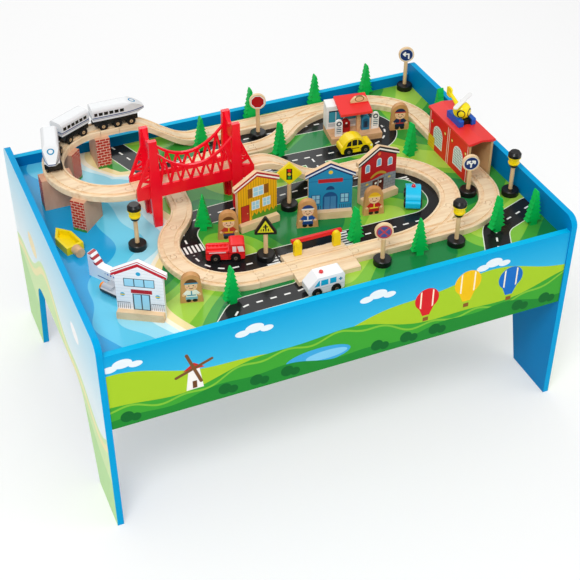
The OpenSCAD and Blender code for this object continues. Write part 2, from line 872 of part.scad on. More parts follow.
lamp_neck_share = 0.6;
lamp_cup_share = 0.86;
lamp_glass_share = 0.78;
lamp_cap_share = 0.72;
lamp_cup_shares = [0, 0.24, 0.3, 0.62, 0.86, 1];

// Turned lamp head: a dark cup, a bright ring and a dark cap
module lamp_heads() {
    h = lamp_h - lamp_head_z;
    r = lamp_d / 2;
    z = [for (share = lamp_cup_shares) h * share];
    color("gold") for (place = lamp_shares)
        stand(place, lamp_head_z) difference() {
            rotate_extrude()
                polygon([
                    [0, 0], [r * lamp_neck_share, 0],
                    [r * lamp_cup_share, z[1]], [r * lamp_cup_share, z[2]],
                    [r * lamp_glass_share, z[2]], [r * lamp_glass_share, z[3]],
                    [r, z[3]], [r, z[4]], [r * lamp_cap_share, h], [0, h]]);
            post_bore();
        }
}

figure_head_share = 0.84;

module figure_outline() {
    head = figure_w * figure_head_share;
    neck_z = figure_h - head / 2;
    polygon([[-figure_w / 2, 0], [figure_w / 2, 0], [head / 2, neck_z], [-head / 2, neck_z]]);
    translate([0, neck_z]) circle(d = head);
}

module figures() {
    color(WOOD) for (place = figure_shares)
        stand(place) upright(figure_t) figure_outline();
}

// Houses

eave_share = 0.72;
roof_over = 6;
roof_h = 9;
plinth_edge = 2;

// A house front with its gable roof, and the plinth along its foot
module house() {
    eave = house_h * eave_share;
    half = house_w / 2;
    reach = half + roof_over;
    upright(house_t)
        polygon([
            [-half, 0], [half, 0], [half, eave + roof_over * (house_h - eave - roof_h) / reach],
            [reach, eave], [reach, eave + roof_h], [0, house_h], [-reach, eave + roof_h], [-reach, eave],
            [-half, eave + roof_over * (house_h - eave - roof_h) / reach]]);
    translate([0, -(house_t + plinth_w) / 2, 0]) upright(plinth_w)
        round_rect(house_w, plinth_h, plinth_edge);
}

module hospital() {
    color("whitesmoke") stand(hospital_share) house();
}

module cottage() {
    color("goldenrod") stand(cottage_share) house();
}

module police_station() {
    color("steelblue") stand(police_share) house();
}

module fire_station() {
    color("firebrick") stand(fire_share) house();
}

slab_h = 13;
shop_w_share = 0.62;
shop_d_share = 0.36;
shop_h = 52;
canopy_w_share = 0.62;
canopy_d = 56;
canopy_t = 5;
canopy_tilt = 14;
column_s = 7;
column_x_share = 0.08;
shop_x = -station_w * (1 - shop_w_share) / 2;
shop_d = station_d * shop_d_share;
canopy_back = station_d / 2;
canopy_low_y = canopy_back - canopy_d * cos(canopy_tilt);
function canopy_z(y) = slab_h + shop_h - (canopy_back - shop_d - y) * tan(canopy_tilt);
column_y = -station_d / 6;

// Filling station: slab, shop with a top cut to the canopy's slope, and the column
module filling_station() {
    color(WOOD) stand(station_share) {
        translate([-station_w / 2, -station_d / 2, 0]) cube([station_w, station_d, slab_h]);
        translate([shop_x - station_w * shop_w_share / 2, 0, 0]) along_x(station_w * shop_w_share)
            polygon([[canopy_back - shop_d, slab_h - over], [canopy_back, slab_h - over],
                [canopy_back, canopy_z(canopy_back)],
                [canopy_back - shop_d, canopy_z(canopy_back - shop_d)]]);
        translate([station_w * column_x_share - column_s / 2, 0, 0]) along_x(column_s)
            polygon([[column_y, slab_h - over], [column_y + column_s, slab_h - over],
                [column_y + column_s, canopy_z(column_y + column_s)], [column_y, canopy_z(column_y)]]);
    }
}

oval_w = 38;
oval_h = 23;
oval_t = 6;
oval_x_share = 0.12;
oval_y_share = 0.5;

// Sloping canopy with a blank round topped board standing on it
module station_canopy() {
    w = station_w * canopy_w_share;
    color("tomato") stand(station_share) {
        translate([-w / 2, 0, 0]) along_x(w)
            polygon([[canopy_low_y, canopy_z(canopy_low_y)], [canopy_back, canopy_z(canopy_back)],
                [canopy_back, canopy_z(canopy_back) + canopy_t],
                [canopy_low_y, canopy_z(canopy_low_y) + canopy_t]]);
        oval_y = canopy_low_y + canopy_d * (1 - oval_y_share);
        translate([station_w * oval_x_share, oval_y, canopy_z(oval_y) - over])
            upright(oval_t) intersection() {
                translate([0, oval_h / 2 - oval_w / 4]) circle(d = oval_w * 1.04);
                translate([-oval_w / 2, 0]) square([oval_w, oval_h + canopy_t]);
            }
    }
}

pump_w = 16;
pump_t = 9;
board_plate_w = 15;
board_plate_t = 4;
red_pump_h = 28;
blue_pump_h = 34;
board_plate_h = 38;
// Pieces on the slab: offsets in shares of the station's size, width, thickness and height
pump_shares = [
    [-0.16, -0.10, pump_w, pump_t, red_pump_h], [0.22, -0.12, pump_w, pump_t, blue_pump_h],
    [-0.34, -0.34, board_plate_w, board_plate_t, board_plate_h],
    [0.41, -0.16, board_plate_w, board_plate_t, board_plate_h]];

module fuel_pumps() {
    color("crimson") for (p = pump_shares)
        stand(station_share, slab_h) translate([station_w * p[0], station_d * p[1], 0])
            upright(p[3]) dome(p[2], p[4]);
}

shed_rise = 4;
shed_roof_t = 4;
shed_eave = 3;
shed_roof_over = 3;
shed_place = [SHED, 0, shed_shift_share, 0];
shed_half = shed_w / 2 + shed_t;

module shed_walls() {
    color("firebrick") stand(shed_place) for (s = [-1, 1])
        translate([s * (shed_w + shed_t) / 2 - shed_t / 2, -shed_l / 2, 0]) cube([shed_t, shed_l, shed_h]);
}

// Roof section: level under the walls, with a gable between them
module shed_roof() {
    half = shed_half + shed_eave;
    color("red") stand(shed_place, shed_h)
        translate([0, shed_l / 2 + shed_roof_over, 0]) rotate([90, 0, 0])
            linear_extrude(shed_l + 2 * shed_roof_over) difference() {
                polygon([
                    [-half, 0], [half, 0], [half, shed_roof_t],
                    [0, shed_rise + shed_roof_t], [-half, shed_roof_t]]);
                polygon([
                    [-shed_w / 2, -over], [shed_w / 2, -over], [shed_w / 2, 0],
                    [0, shed_rise], [-shed_w / 2, 0]]);
            }
}

heli_l = 41;
heli_w = 36;
heli_base_h = 8;
skid_w = 9.5;
skid_h = 12;
cabin_d = 35;
cabin_sink = 5;
boom_d = 9.5;
boom_tip_d = 6;
boom_l = 36;
boom_tilt = 18;
fin_w = 16;
fin_h = 20;
fin_t = 4;
mast_d = 4;
mast_h = 5;
rotor_d = 72;
rotor_w = 9;
rotor_t = 2;
hub_d = 11;
hub_h = 4;
nose_turn = 0;
heli_place = [SHED, 0, shed_shift_share + heli_shift_share, nose_turn];
heli_z = shed_h + shed_rise + shed_roof_t;
cabin_z = heli_base_h + cabin_d / 2 - cabin_sink;

// Skid block with a foot cut to the roof's gable
module helicopter_skids() {
    drop = shed_rise * heli_w / 2 / (shed_half + shed_eave);
    color("royalblue") stand(heli_place, heli_z) difference() {
        union() {
            translate([-heli_w / 2, -heli_l / 2, -drop]) cube([heli_w, heli_l, drop + heli_base_h]);
            for (s = [-1, 1])
                translate([s * (heli_w - skid_w) / 2, 0, -drop]) rotate(90)
                    upright(skid_w) round_rect(heli_l + skid_w, skid_h + drop, skid_w / 4);
        }
        rotate([90, 0, 0]) linear_extrude(2 * heli_l, center = true)
            polygon([[-heli_w, -2 * drop], [0, 0], [heli_w, -2 * drop]]);
        translate([0, 0, cabin_z]) sphere(d = cabin_d + gap);
    }
}

module helicopter_cabin() {
    color("yellow") stand(heli_place, heli_z) {
        difference() {
            union() {
                translate([0, 0, cabin_z]) sphere(d = cabin_d);
                translate([0, cabin_d / 4, cabin_z]) rotate([-90 + boom_tilt, 0, 0])
                    cylinder(d1 = boom_d, d2 = boom_tip_d, h = boom_l + cabin_d / 4);
                translate([0, cabin_d / 4 + (boom_l + cabin_d / 4) * cos(boom_tilt),
                    cabin_z + (boom_l + cabin_d / 4) * sin(boom_tilt) - fin_h / 2])
                    rotate(90) upright(fin_t) round_rect(fin_w, fin_h, fin_t);
                translate([0, 0, cabin_z]) cylinder(d = hub_d, h = cabin_d / 2 + gap);
            }
            translate([0, 0, cabin_z + cabin_d / 2 - mast_h])
                cylinder(d = mast_d + 2 * run_gap, h = mast_h + over);
        }
    }
}

// Two bladed rotor on a mast that turns in the cabin
module helicopter_rotor() {
    top = cabin_z + cabin_d / 2 + 2 * gap;
    color("white") stand(heli_place, heli_z) {
        translate([0, 0, top - mast_h]) cylinder(d = mast_d, h = mast_h + hub_h);
        translate([0, 0, top]) cylinder(d = hub_d, h = hub_h);
        translate([0, 0, top + hub_h / 4]) linear_extrude(rotor_t) rotate(35)
            bar([-(rotor_d - rotor_w) / 2, 0], [(rotor_d - rotor_w) / 2, 0], rotor_w);
    }
}

// Road vehicles

auto_clear = 5;
arch_gap = 1.2;
wheel_lift = 0.3;
beacon_d = 7;
beacon_h = 5;
auto_l = 68;
taxi_hood_h = 21;
taxi_roof_h = 38;
cabin_l = 48;
cabin_r = 27;
van_h = 39.5;
van_nose = 18;
truck_l = 70;
truck_h = 37;
truck_cab_l = 28;
truck_bed_h = 23;
auto_edge = 5;
axle_z = wheel_d / 2 + wheel_lift;

// A body cut for its wheels and bored for its axles, from its side outline
module auto_body() {
    difference() {
        upright(auto_w) children();
        for (x = [-wheelbase / 2, wheelbase / 2]) {
            translate([x, 0, axle_z]) rotate([90, 0, 0])
                cylinder(d = axle_d + 2 * run_gap, h = 2 * auto_w, center = true);
            for (s = [-1, 1])
                translate([x, s * ((auto_w - wheel_w) / 2 + wheel_out), axle_z]) rotate([90, 0, 0])
                    cylinder(d = wheel_d + 2 * arch_gap, h = wheel_w + 2 * gap + over, center = true);
        }
    }
}

// An axle with a capped wheel at each end
module wheel_pair(x, width, wheel, thick) {
    translate([x, 0, 0]) rotate([90, 0, 0]) {
        cylinder(d = axle_d, h = width, center = true);
        for (s = [-1, 1]) {
            translate([0, 0, s * (width - thick) / 2]) cylinder(d = wheel, h = thick, center = true);
            translate([0, 0, s * width / 2]) cylinder(d = cap_d, h = 2 * cap_t, center = true);
        }
    }
}

module road_wheels(place, x) {
    color("black") stand(place, axle_z) wheel_pair(x, auto_w + 2 * wheel_out, wheel_d, wheel_w);
}

module beacon(x, z) {
    translate([x, 0, z - over]) cylinder(d = beacon_d, h = beacon_h + over - beacon_d / 4);
    translate([x, 0, z + beacon_h - beacon_d / 4])
        cylinder(d1 = beacon_d, d2 = beacon_d / 2, h = beacon_d / 4);
}

// Side outlines, nose towards +X
module taxi_outline() {
    translate([0, auto_clear]) round_rect(auto_l, taxi_hood_h - auto_clear, auto_edge);
    intersection() {
        translate([-cabin_l / 2 - auto_edge, auto_clear + auto_edge])
            square([cabin_l + auto_edge, taxi_roof_h]);
        translate([-auto_edge, taxi_roof_h - cabin_r]) circle(cabin_r);
    }
}

module van_outline() {
    half = auto_l / 2;
    difference() {
        translate([0, auto_clear]) round_rect(auto_l, van_h - auto_clear, auto_edge);
        polygon([[half + over, van_h / 2], [half - van_nose, van_h], [half - van_nose, van_h + over],
            [half + over, van_h + over]]);
    }
}

module truck_outline() {
    half = truck_l / 2;
    translate([0, auto_clear]) round_rect(truck_l, truck_bed_h - auto_clear, auto_edge);
    translate([half - truck_cab_l / 2, auto_clear])
        round_rect(truck_cab_l, truck_h - auto_clear, auto_edge);
}

module taxi_body() {
    color("gold") stand(taxi_share) auto_body() taxi_outline();
}

module taxi_front_wheels() {
    road_wheels(taxi_share, wheelbase / 2);
}

module taxi_rear_wheels() {
    road_wheels(taxi_share, -wheelbase / 2);
}

ladder_w = 14;
ladder_t = 3;
rung_count = 6;
rung_w = 2.5;

// Fire truck with a ladder lying over its bed
module fire_truck_body() {
    color("red") stand(truck_share) {
        auto_body() truck_outline();
        length = truck_l - truck_cab_l - auto_edge;
        translate([-truck_l / 2 + auto_edge / 2, 0, truck_bed_h - over]) {
            for (s = [-1, 1])
                translate([0, s * (ladder_w - ladder_t) / 2 - ladder_t / 2, 0])
                    cube([length, ladder_t, ladder_t + over]);
            for (i = [0 : rung_count - 1])
                translate([(length - rung_w) * i / (rung_count - 1), -ladder_w / 2, 0])
                    cube([rung_w, ladder_w, ladder_t / 2 + over]);
        }
    }
}

module fire_truck_front_wheels() {
    road_wheels(truck_share, wheelbase / 2);
}

module fire_truck_rear_wheels() {
    road_wheels(truck_share, -wheelbase / 2);
}

module ambulance_body() {
    color("white") stand(ambulance_share) {
        mirror([1, 0, 0]) auto_body() van_outline();
        beacon(-auto_edge, van_h);
    }
}

module ambulance_front_wheels() {
    road_wheels(ambulance_share, -wheelbase / 2);
}

module ambulance_rear_wheels() {
    road_wheels(ambulance_share, wheelbase / 2);
}

module patrol_car_body() {
    color("deepskyblue") stand(patrol_share) {
        auto_body() taxi_outline();
        beacon(-auto_edge, taxi_roof_h);
    }
}

module patrol_car_front_wheels() {
    road_wheels(patrol_share, wheelbase / 2);
}

module patrol_car_rear_wheels() {
    road_wheels(patrol_share, -wheelbase / 2);
}

// Train

lead_angle = 168.5;
car_space = 11.2;
end_axle_shares = [-0.31, -0.04, 0.22];
mid_axle_shares = [-0.28, 0.28];
rail_wheel_lift = 0.4;
truck_block_l = 20;
skirt_h = 11;
skirt_inset = 3;
car_floor_z = 21;
nose_l_share = 0.42;
nose_tip_h = 9;
beak_l = 16;
beak_rise = 5;
roof_edge = 7;
magnet_d = 9;
magnet_l = 3;
magnet_z = 10;
track_gauge_w = gauge + rail_wheel_w;
rail_axle_z = rail_z - groove_d + rail_wheel_lift + rail_wheel_d / 2;
block_w = gauge - rail_wheel_w - 2 * gap;
end_axles = end_car_l * end_axle_shares;
mid_axles = mid_car_l * mid_axle_shares;

// Children put on the raised loop at an angle, heading round it, or on the raised straight
module on_loop(angle, z) {
    translate([LOOP[0], LOOP[1], z]) rotate(angle) translate([curve_r, 0, 0]) rotate(90) children();
}

module on_straight(z) {
    translate([tail_x, back_y, z]) children();
}

// Turn along the loop that a distance along its middle takes
function loop_turn(d) = d / curve_r * 180 / PI;
// Cars follow one another at an even pitch, round the loop and on to the straight
car_pitch = (end_car_l + mid_car_l) / 2 + car_space;
middle_angle = lead_angle - loop_turn(car_pitch);
tail_x = loop_x + car_pitch - (middle_angle - 90) * PI / 180 * curve_r;

// Car shell: side outline, rounded section and plan, each cut by the others
module car_shell(length, nosed) {
    nose_l = length * nose_l_share;
    half = length / 2;
    intersection() {
        upright(2 * car_w) {
            translate([-half, car_floor_z]) square([nosed ? length - nose_l : length, car_h - car_floor_z]);
            if (nosed) translate([half - nose_l, 0]) nose_side(nose_l);
        }
        translate([-half, 0, 0]) along_x(length) {
            translate([-car_w / 2, 0]) square([car_w, car_h - roof_edge]);
            translate([-car_w / 2 + roof_edge, 0]) square([car_w - 2 * roof_edge, car_h]);
            for (s = [-1, 1])
                translate([s * (car_w / 2 - roof_edge), car_h - roof_edge]) circle(roof_edge);
        }
        linear_extrude(2 * car_h) {
            reach = nosed ? nose_l : 0;
            translate([-half, -car_w / 2]) square([length - reach, car_w]);
            if (nosed) intersection() {
                translate([half - nose_l - over, -car_w / 2]) square([nose_l + over, car_w]);
                translate([half - nose_l, 0]) nose_plan(nose_l);
            }
        }
    }
}

// Side of a nose: an arc that leaves the roof smoothly and falls to the tip of a beak
module nose_side(nose_l) {
    drop = car_h - car_floor_z - nose_tip_h;
    r = (nose_l * nose_l + drop * drop) / (2 * drop);
    difference() {
        intersection() {
            translate([-over, car_floor_z]) square([nose_l + over, car_h - car_floor_z]);
            translate([0, car_h - r]) circle(r, $fn = 160);
        }
        polygon([
            [nose_l - beak_l, car_floor_z - over], [nose_l + over, car_floor_z - over],
            [nose_l + over, car_floor_z + beak_rise], [nose_l - beak_l, car_floor_z]]);
    }
}

// Pointed plan of a nose: two arcs that leave the sides smoothly and meet at the tip
module nose_plan(nose_l) {
    tip = car_w / 5;
    drop = car_w / 2 - tip;
    r = (nose_l * nose_l + drop * drop) / (2 * drop);
    intersection() {
        translate([0, r - car_w / 2]) circle(r, $fn = 160);
        translate([0, car_w / 2 - r]) circle(r, $fn = 160);
    }
}

// Black underframe: skirt, ending short of a beak, and magnets where another car is drawn;
// the axle blocks follow the track below it
module car_frame(length, nosed) {
    front = nosed ? beak_l : skirt_inset;
    translate([-length / 2 + skirt_inset, -car_w / 2 + skirt_inset / 2, car_floor_z - skirt_h])
        cube([length - skirt_inset - front, car_w - skirt_inset, skirt_h + over]);
    for (s = nosed ? [-1] : [-1, 1])
        translate([s * (length / 2 - skirt_inset), 0, magnet_z + magnet_d / 4]) rotate([0, s * 90, 0])
            cylinder(d = magnet_d, h = magnet_l);
}

module axle_block() {
    difference() {
        translate([-truck_block_l / 2, -block_w / 2, rail_axle_z - rail_z - axle_d])
            cube([truck_block_l, block_w, car_floor_z + over - rail_axle_z + rail_z + axle_d]);
        translate([0, 0, rail_axle_z - rail_z]) rotate([90, 0, 0])
            cylinder(d = axle_d + 2 * run_gap, h = 2 * car_w, center = true);
    }
}

module rail_wheels() {
    color("black") wheel_pair(0, track_gauge_w, rail_wheel_d, rail_wheel_w);
}

module lead_car() {
    color("white") {
        on_loop(lead_angle, rail_z) {
            car_shell(end_car_l, true);
            difference() {
                car_frame(end_car_l, true);
                for (d = end_axles)
                    translate([0, curve_r, 0]) rotate(loop_turn(d))
                        translate([0, -curve_r, 0]) wheel_room();
            }
        }
        for (d = end_axles)
            on_loop(lead_angle + loop_turn(d), rail_z) axle_block();
    }
}

// Room above a wheel pair in the skirt
module wheel_room() {
    for (s = [-1, 1])
        translate([0, s * gauge / 2, rail_axle_z - rail_z]) rotate([90, 0, 0])
            cylinder(d = rail_wheel_d + 2 * arch_gap, h = rail_wheel_w + 2 * gap, center = true);
}

module lead_wheels(i) {
    on_loop(lead_angle + loop_turn(end_axles[i]), rail_axle_z) rail_wheels();
}

module lead_wheels_1() {
    lead_wheels(0);
}

module lead_wheels_2() {
    lead_wheels(1);
}

module lead_wheels_3() {
    lead_wheels(2);
}

module middle_car() {
    color("white") {
        on_loop(middle_angle, rail_z) {
            car_shell(mid_car_l, false);
            difference() {
                car_frame(mid_car_l, false);
                for (d = mid_axles)
                    translate([0, curve_r, 0]) rotate(loop_turn(d))
                        translate([0, -curve_r, 0]) wheel_room();
            }
        }
        for (d = mid_axles)
            on_loop(middle_angle + loop_turn(d), rail_z) axle_block();
    }
}

module middle_wheels(i) {
    on_loop(middle_angle + loop_turn(mid_axles[i]), rail_axle_z) rail_wheels();
}

module middle_wheels_1() {
    middle_wheels(0);
}

module middle_wheels_2() {
    middle_wheels(1);
}

module tail_car() {
    color("white") on_straight(rail_z) {
        car_shell(end_car_l, true);
        difference() {
            car_frame(end_car_l, true);
            for (d = end_axles)
                translate([d, 0, 0]) wheel_room();
        }
        for (d = end_axles)
            translate([d, 0, 0]) axle_block();
    }
}

module tail_wheels(i) {
    on_straight(rail_axle_z) translate([end_axles[i], 0, 0]) rail_wheels();
}

module tail_wheels_1() {
    tail_wheels(0);
}

module tail_wheels_2() {
    tail_wheels(1);
}

module tail_wheels_3() {
    tail_wheels(2);
}

// Boat and plane

boat_l = 70;
boat_w = 34;
boat_h = 16;
boat_bow = 27;
boat_wall = 5;
boat_floor = 6;
stern_peg_d = 18;
stern_peg_l = 18;

module boat_plan(inset) {
    half = boat_w / 2 - inset;
    back = -boat_l / 2 + inset;
    front = boat_l / 2 - inset * 2;
    neck = boat_l / 2 - boat_bow;
    polygon([[back, -half], [neck, -half], [front, 0], [neck, half], [back, half]]);
}

// Hull with an open well, and a round wooden peg lying behind its stern
module toy_boat() {
    color("yellow") stand(boat_share) {
        difference() {
            linear_extrude(boat_h) boat_plan(0);
            translate([0, 0, boat_floor]) linear_extrude(boat_h) boat_plan(boat_wall);
        }
        translate([-boat_l / 2 - gap, 0, stern_peg_d / 2]) rotate([0, -90, 0])
            cylinder(d = stern_peg_d, h = stern_peg_l);
    }
}

plane_l = 124;
plane_t = 16;
plane_h = 26;
plane_fin_h = 48;
plane_fin_l = 24;
plane_fin_top = 7;
plane_wing_l = 74;
plane_wing_w = 50;
plane_wing_t = 5;
plane_wing_z = 7;
plane_sweep = 10;
plane_tail_l = 51;
engine_d = 14;
engine_l = 26;
engine_over = 5;
engine_out_share = 0.7;

// Swept wing with a straight trailing edge, from tip to tip
module wing_plan() {
    tip = plane_wing_l / 2;
    polygon([
        [0, -tip], [plane_wing_w - plane_sweep, -tip], [plane_wing_w, 0],
        [plane_wing_w - plane_sweep, tip], [0, tip]]);
}

// Plane: a flat sided body with a round nose and a tall fin, a wing board and an engine under each side
module toy_plane() {
    half = plane_l / 2;
    nose_r = plane_h / 2;
    color("white") stand(plane_share) {
        upright(plane_t) {
            translate([-half, 0]) square([plane_l - nose_r, plane_h]);
            translate([half - nose_r, nose_r]) circle(nose_r);
            polygon([
                [-half, 0], [-half + plane_fin_l, plane_h - over],
                [-half + plane_fin_top, plane_fin_h], [-half, plane_fin_h]]);
        }
        translate([-half + plane_tail_l, 0, plane_wing_z]) {
            linear_extrude(plane_wing_t) wing_plan();
            for (s = [-1, 1])
                translate([-engine_over, s * plane_wing_l / 2 * engine_out_share, plane_wing_t / 2])
                    rotate([0, 90, 0]) cylinder(d = engine_d, h = engine_l);
        }
    }
}

end_panel_left();
end_panel_right();
side_panel_front();
side_panel_back();
play_board();
board_battens();
cross_rail();
cam_fittings();
ground_track();
switch_tracks();
raised_track();
ramp_tracks();
crossing_track();
suspension_bridge();
bridge_piers();
barrier_posts();
barrier();
trees();
post_stands();
sign_plates();
lamp_heads();
figures();
hospital();
cottage();
police_station();
fire_station();
filling_station();
station_canopy();
fuel_pumps();
shed_walls();
shed_roof();
helicopter_skids();
helicopter_cabin();
helicopter_rotor();
taxi_body();
taxi_front_wheels();
taxi_rear_wheels();
fire_truck_body();
fire_truck_front_wheels();
fire_truck_rear_wheels();
ambulance_body();
ambulance_front_wheels();
ambulance_rear_wheels();
patrol_car_body();
patrol_car_front_wheels();
patrol_car_rear_wheels();
lead_car();
lead_wheels_1();
lead_wheels_2();
lead_wheels_3();
middle_car();
middle_wheels_1();
middle_wheels_2();
tail_car();
tail_wheels_1();
tail_wheels_2();
tail_wheels_3();
toy_boat();
toy_plane();
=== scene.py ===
"""Finishes, prints and small details of the train table, around its CAD frame. Lengths are in mm."""
import math

import bpy
import numpy as np
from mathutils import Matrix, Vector


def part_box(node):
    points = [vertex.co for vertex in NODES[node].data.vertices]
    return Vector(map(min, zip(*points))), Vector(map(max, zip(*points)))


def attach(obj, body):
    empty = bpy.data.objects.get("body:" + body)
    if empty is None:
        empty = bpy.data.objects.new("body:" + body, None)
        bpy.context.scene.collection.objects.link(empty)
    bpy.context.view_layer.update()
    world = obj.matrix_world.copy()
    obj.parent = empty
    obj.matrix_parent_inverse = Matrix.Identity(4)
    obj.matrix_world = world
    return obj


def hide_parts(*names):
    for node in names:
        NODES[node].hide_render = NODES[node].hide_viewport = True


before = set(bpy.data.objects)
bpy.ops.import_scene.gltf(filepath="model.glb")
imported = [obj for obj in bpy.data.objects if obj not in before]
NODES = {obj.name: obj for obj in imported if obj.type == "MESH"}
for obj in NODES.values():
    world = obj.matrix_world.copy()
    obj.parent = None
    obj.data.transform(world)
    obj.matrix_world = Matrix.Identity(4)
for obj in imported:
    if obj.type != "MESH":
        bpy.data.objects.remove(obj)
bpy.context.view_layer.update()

MM = 1000.0  # in a metre

# Table: inside of the panels, their thickness, foot and rim, and the board with its upper face
INNER_L, INNER_W = 875.5, 626.0
PANEL_T, SIDE_FOOT, SIDE_RIM = 12.0, 235.0, 396.5
BOARD, BOARD_T = 375.0, 6.0
SKIN = 0.3  # depth within which a point counts as lying on a panel's face

# Plan of the railway, as in the CAD source: curve radius, raised rail, middles of bends and straights
R, RAIL = 116.0, 452.0
LEFT, MID, IN = (-129.25, -96.0), (-7.25, -212.0), (196.25, -75.5)
TOP, LOOP = (269.75, 156.5), (-269.75, 156.5)
BACK, SHED = (114.75, 272.5), (385.75, 30.25)
PIER_END = 29.6  # half a pier's length, short of its printed ends
# Strips beside the track and the corner of the board, where stands and cars keep clear
BESIDE_BACK, CORNER, POCKET = (BACK[0], 234.2), (419.45, 294.7), (344.7, -116.9)
BESIDE_LINE, PARK = (MID[0], -250.3), (MID[0], -278.5)


def spot(anchor, dx, dy, turn=0.0):
    """A place on the board: an anchor and offsets in shares of the curve radius."""
    return anchor[0] + R * dx, anchor[1] + R * dy, turn


HOUSES = {
    "hospital": spot(LEFT, -1.82, -1.09, -31),
    "cottage": spot(LEFT, 0.56, 0.40, 8),
    "police_station": spot(IN, -1.07, 0, -15),
    "fire_station": spot(IN, -0.16, 0.15, 10),
}
HOUSE_PEAK, HOUSE_T = 116.0, 9.0
SIGNS = [
    spot(BESIDE_BACK, -0.54, 0, -18), spot(CORNER, 0, 0, -20), spot(POCKET, 0, 0, -15),
    spot(BESIDE_LINE, 0.89, 0, -20), spot(LEFT, 1.21, 0.60, -20), spot(LEFT, 0.35, -0.51, -20)]
SIGN_RODS = [66.0, 66.0, 54.0, 54.0, 54.0, 54.0]
PLATE_FRONT, PLATE_REACH = 3.3, 33.0
STAND_FOOT, LAMP_Z, LAMP_H = 12.3, 62.7, 32.3
FIGURES = [
    spot(LEFT, 0.01, 0.21, -15), spot(LEFT, -1.05, -1.05, -15), spot(IN, -1.53, -0.16, -15),
    spot(IN, -0.41, -0.25, -10), spot(TOP, 0.54, -0.06, -15)]
FIGURE_FACE, FIGURE_REACH = 5.3, 23.5
STATION, STATION_FRONT, STATION_FLOOR = spot(TOP, -0.30, 0.10, -8), 60.5, 13.2
FORECOURT = (STATION[0] + STATION_FRONT * math.sin(math.radians(STATION[2])),
             STATION[1] - STATION_FRONT * math.cos(math.radians(STATION[2])))
TAXI = spot(FORECOURT, -0.135, 0, -5)
TRUCK = spot(LEFT, -0.22, -0.25, -18)
AMBULANCE = spot(PARK, -0.21, 0, 0)
PATROL = spot(IN, 0.33, -0.21, 63)
CAR_SIDE = 12.0  # beyond this, a point lies on a vehicle's side
BOAT = spot(LOOP, -1.18, -1.12, 105)
PLANE = spot(LEFT, -1.93, -0.28, -58)
SHED_MID, SHED_L, SHED_SIDE = spot(SHED, 0, -0.306), 156.0, 26.3
HELI = spot(SHED, 0, -0.276)

# Train: cars follow one another at an even pitch round the loop and on to the straight
END_CAR, MID_CAR, CAR_SPACE = 106.0, 72.0, 11.2
CAR_FLOOR = 21.0
CAR_PITCH = (END_CAR + MID_CAR) / 2 + CAR_SPACE
LEAD_A = 168.5
MIDDLE_A = LEAD_A - math.degrees(CAR_PITCH / R)
TAIL_X = LOOP[0] + CAR_PITCH - math.radians(MIDDLE_A - 90) * R
END_AXLES, MID_AXLES = (-0.31, -0.04, 0.22), (-0.28, 0.28)


def rgb(code):
    """Linear colour of a hex sRGB code."""
    c = np.array([int(code[i:i + 2], 16) for i in (0, 2, 4)]) / 255
    c = np.where(c <= 0.04045, c / 12.92, ((c + 0.055) / 1.055) ** 2.4)
    return (*c.tolist(), 1.0)


class Sock:
    """A shader socket that takes arithmetic and comparisons of distance."""

    def __init__(self, mat, out):
        self.mat, self.out = mat, out

    def math(self, op, *args, clamp=False):
        """A Math node with this socket as its first value."""
        return self.mat.math(op, self, *args, clamp=clamp)

    def __add__(self, o):
        return self.math("ADD", o)

    def __sub__(self, o):
        return self.math("SUBTRACT", o)

    def __mul__(self, o):
        return self.math("MULTIPLY", o)

    def __rsub__(self, o):
        return self.mat.math("SUBTRACT", o, self)

    def __neg__(self):
        return self.math("MULTIPLY", -1.0)

    __radd__ = __add__
    __rmul__ = __mul__


def on_sockets(op, *args):
    """A Math node in the material of the first socket among the values."""
    return next(a for a in args if isinstance(a, Sock)).mat.math(op, *args)


def mx(a, *more):
    """The greatest of the values: where all the shapes overlap."""
    for b in more:
        a = on_sockets("MAXIMUM", a, b)
    return a


def mn(a, *more):
    """The least of the values: all the shapes together."""
    for b in more:
        a = on_sockets("MINIMUM", a, b)
    return a


def ab(a):
    """The value without its sign."""
    return on_sockets("ABSOLUTE", a)


def root(a):
    """Square root."""
    return on_sockets("SQRT", a)


def sin(a):
    """Sine of an angle in radians."""
    return on_sockets("SINE", a)


def mod(a, b):
    """What is left after whole steps of b, never negative."""
    return on_sockets("FLOORED_MODULO", a, b)


# Signed distances, negative inside
def box(u, v, cx, cy, hw, hh):
    """A rectangle: the greater of the distances past its half width and half height."""
    return mx(ab(u - cx) - hw, ab(v - cy) - hh)


def disc(u, v, cx, cy, r, squash=1.0):
    """A round, flattened by squash: the distance from its middle less its radius."""
    du, dv = u - cx, (v - cy) * squash
    return root(du * du + dv * dv) - r


def arch(u, v, cx, foot, hw, h):
    """A door or window with a round head: a rectangle and a round on its top."""
    return mn(box(u, v, cx, foot + (h - hw) / 2, hw, (h - hw) / 2), disc(u, v, cx, foot + h - hw, hw))


def stripes(u, pitch, share=0.5):
    """Bars across u: negative over the given share of each pitch."""
    return ab(mod(u, pitch) - pitch / 2) - pitch * share / 2


def bar(u, v, a, b, r):
    """A stroke of half width r: the distance to the nearest point between a and b, less r."""
    du, dv = b[0] - a[0], b[1] - a[1]
    ll = du * du + dv * dv
    t = mn(mx(((u - a[0]) * du + (v - a[1]) * dv) * (1 / ll), 0.0), 1.0)
    return disc(u - t * du, v - t * dv, a[0], a[1], r)


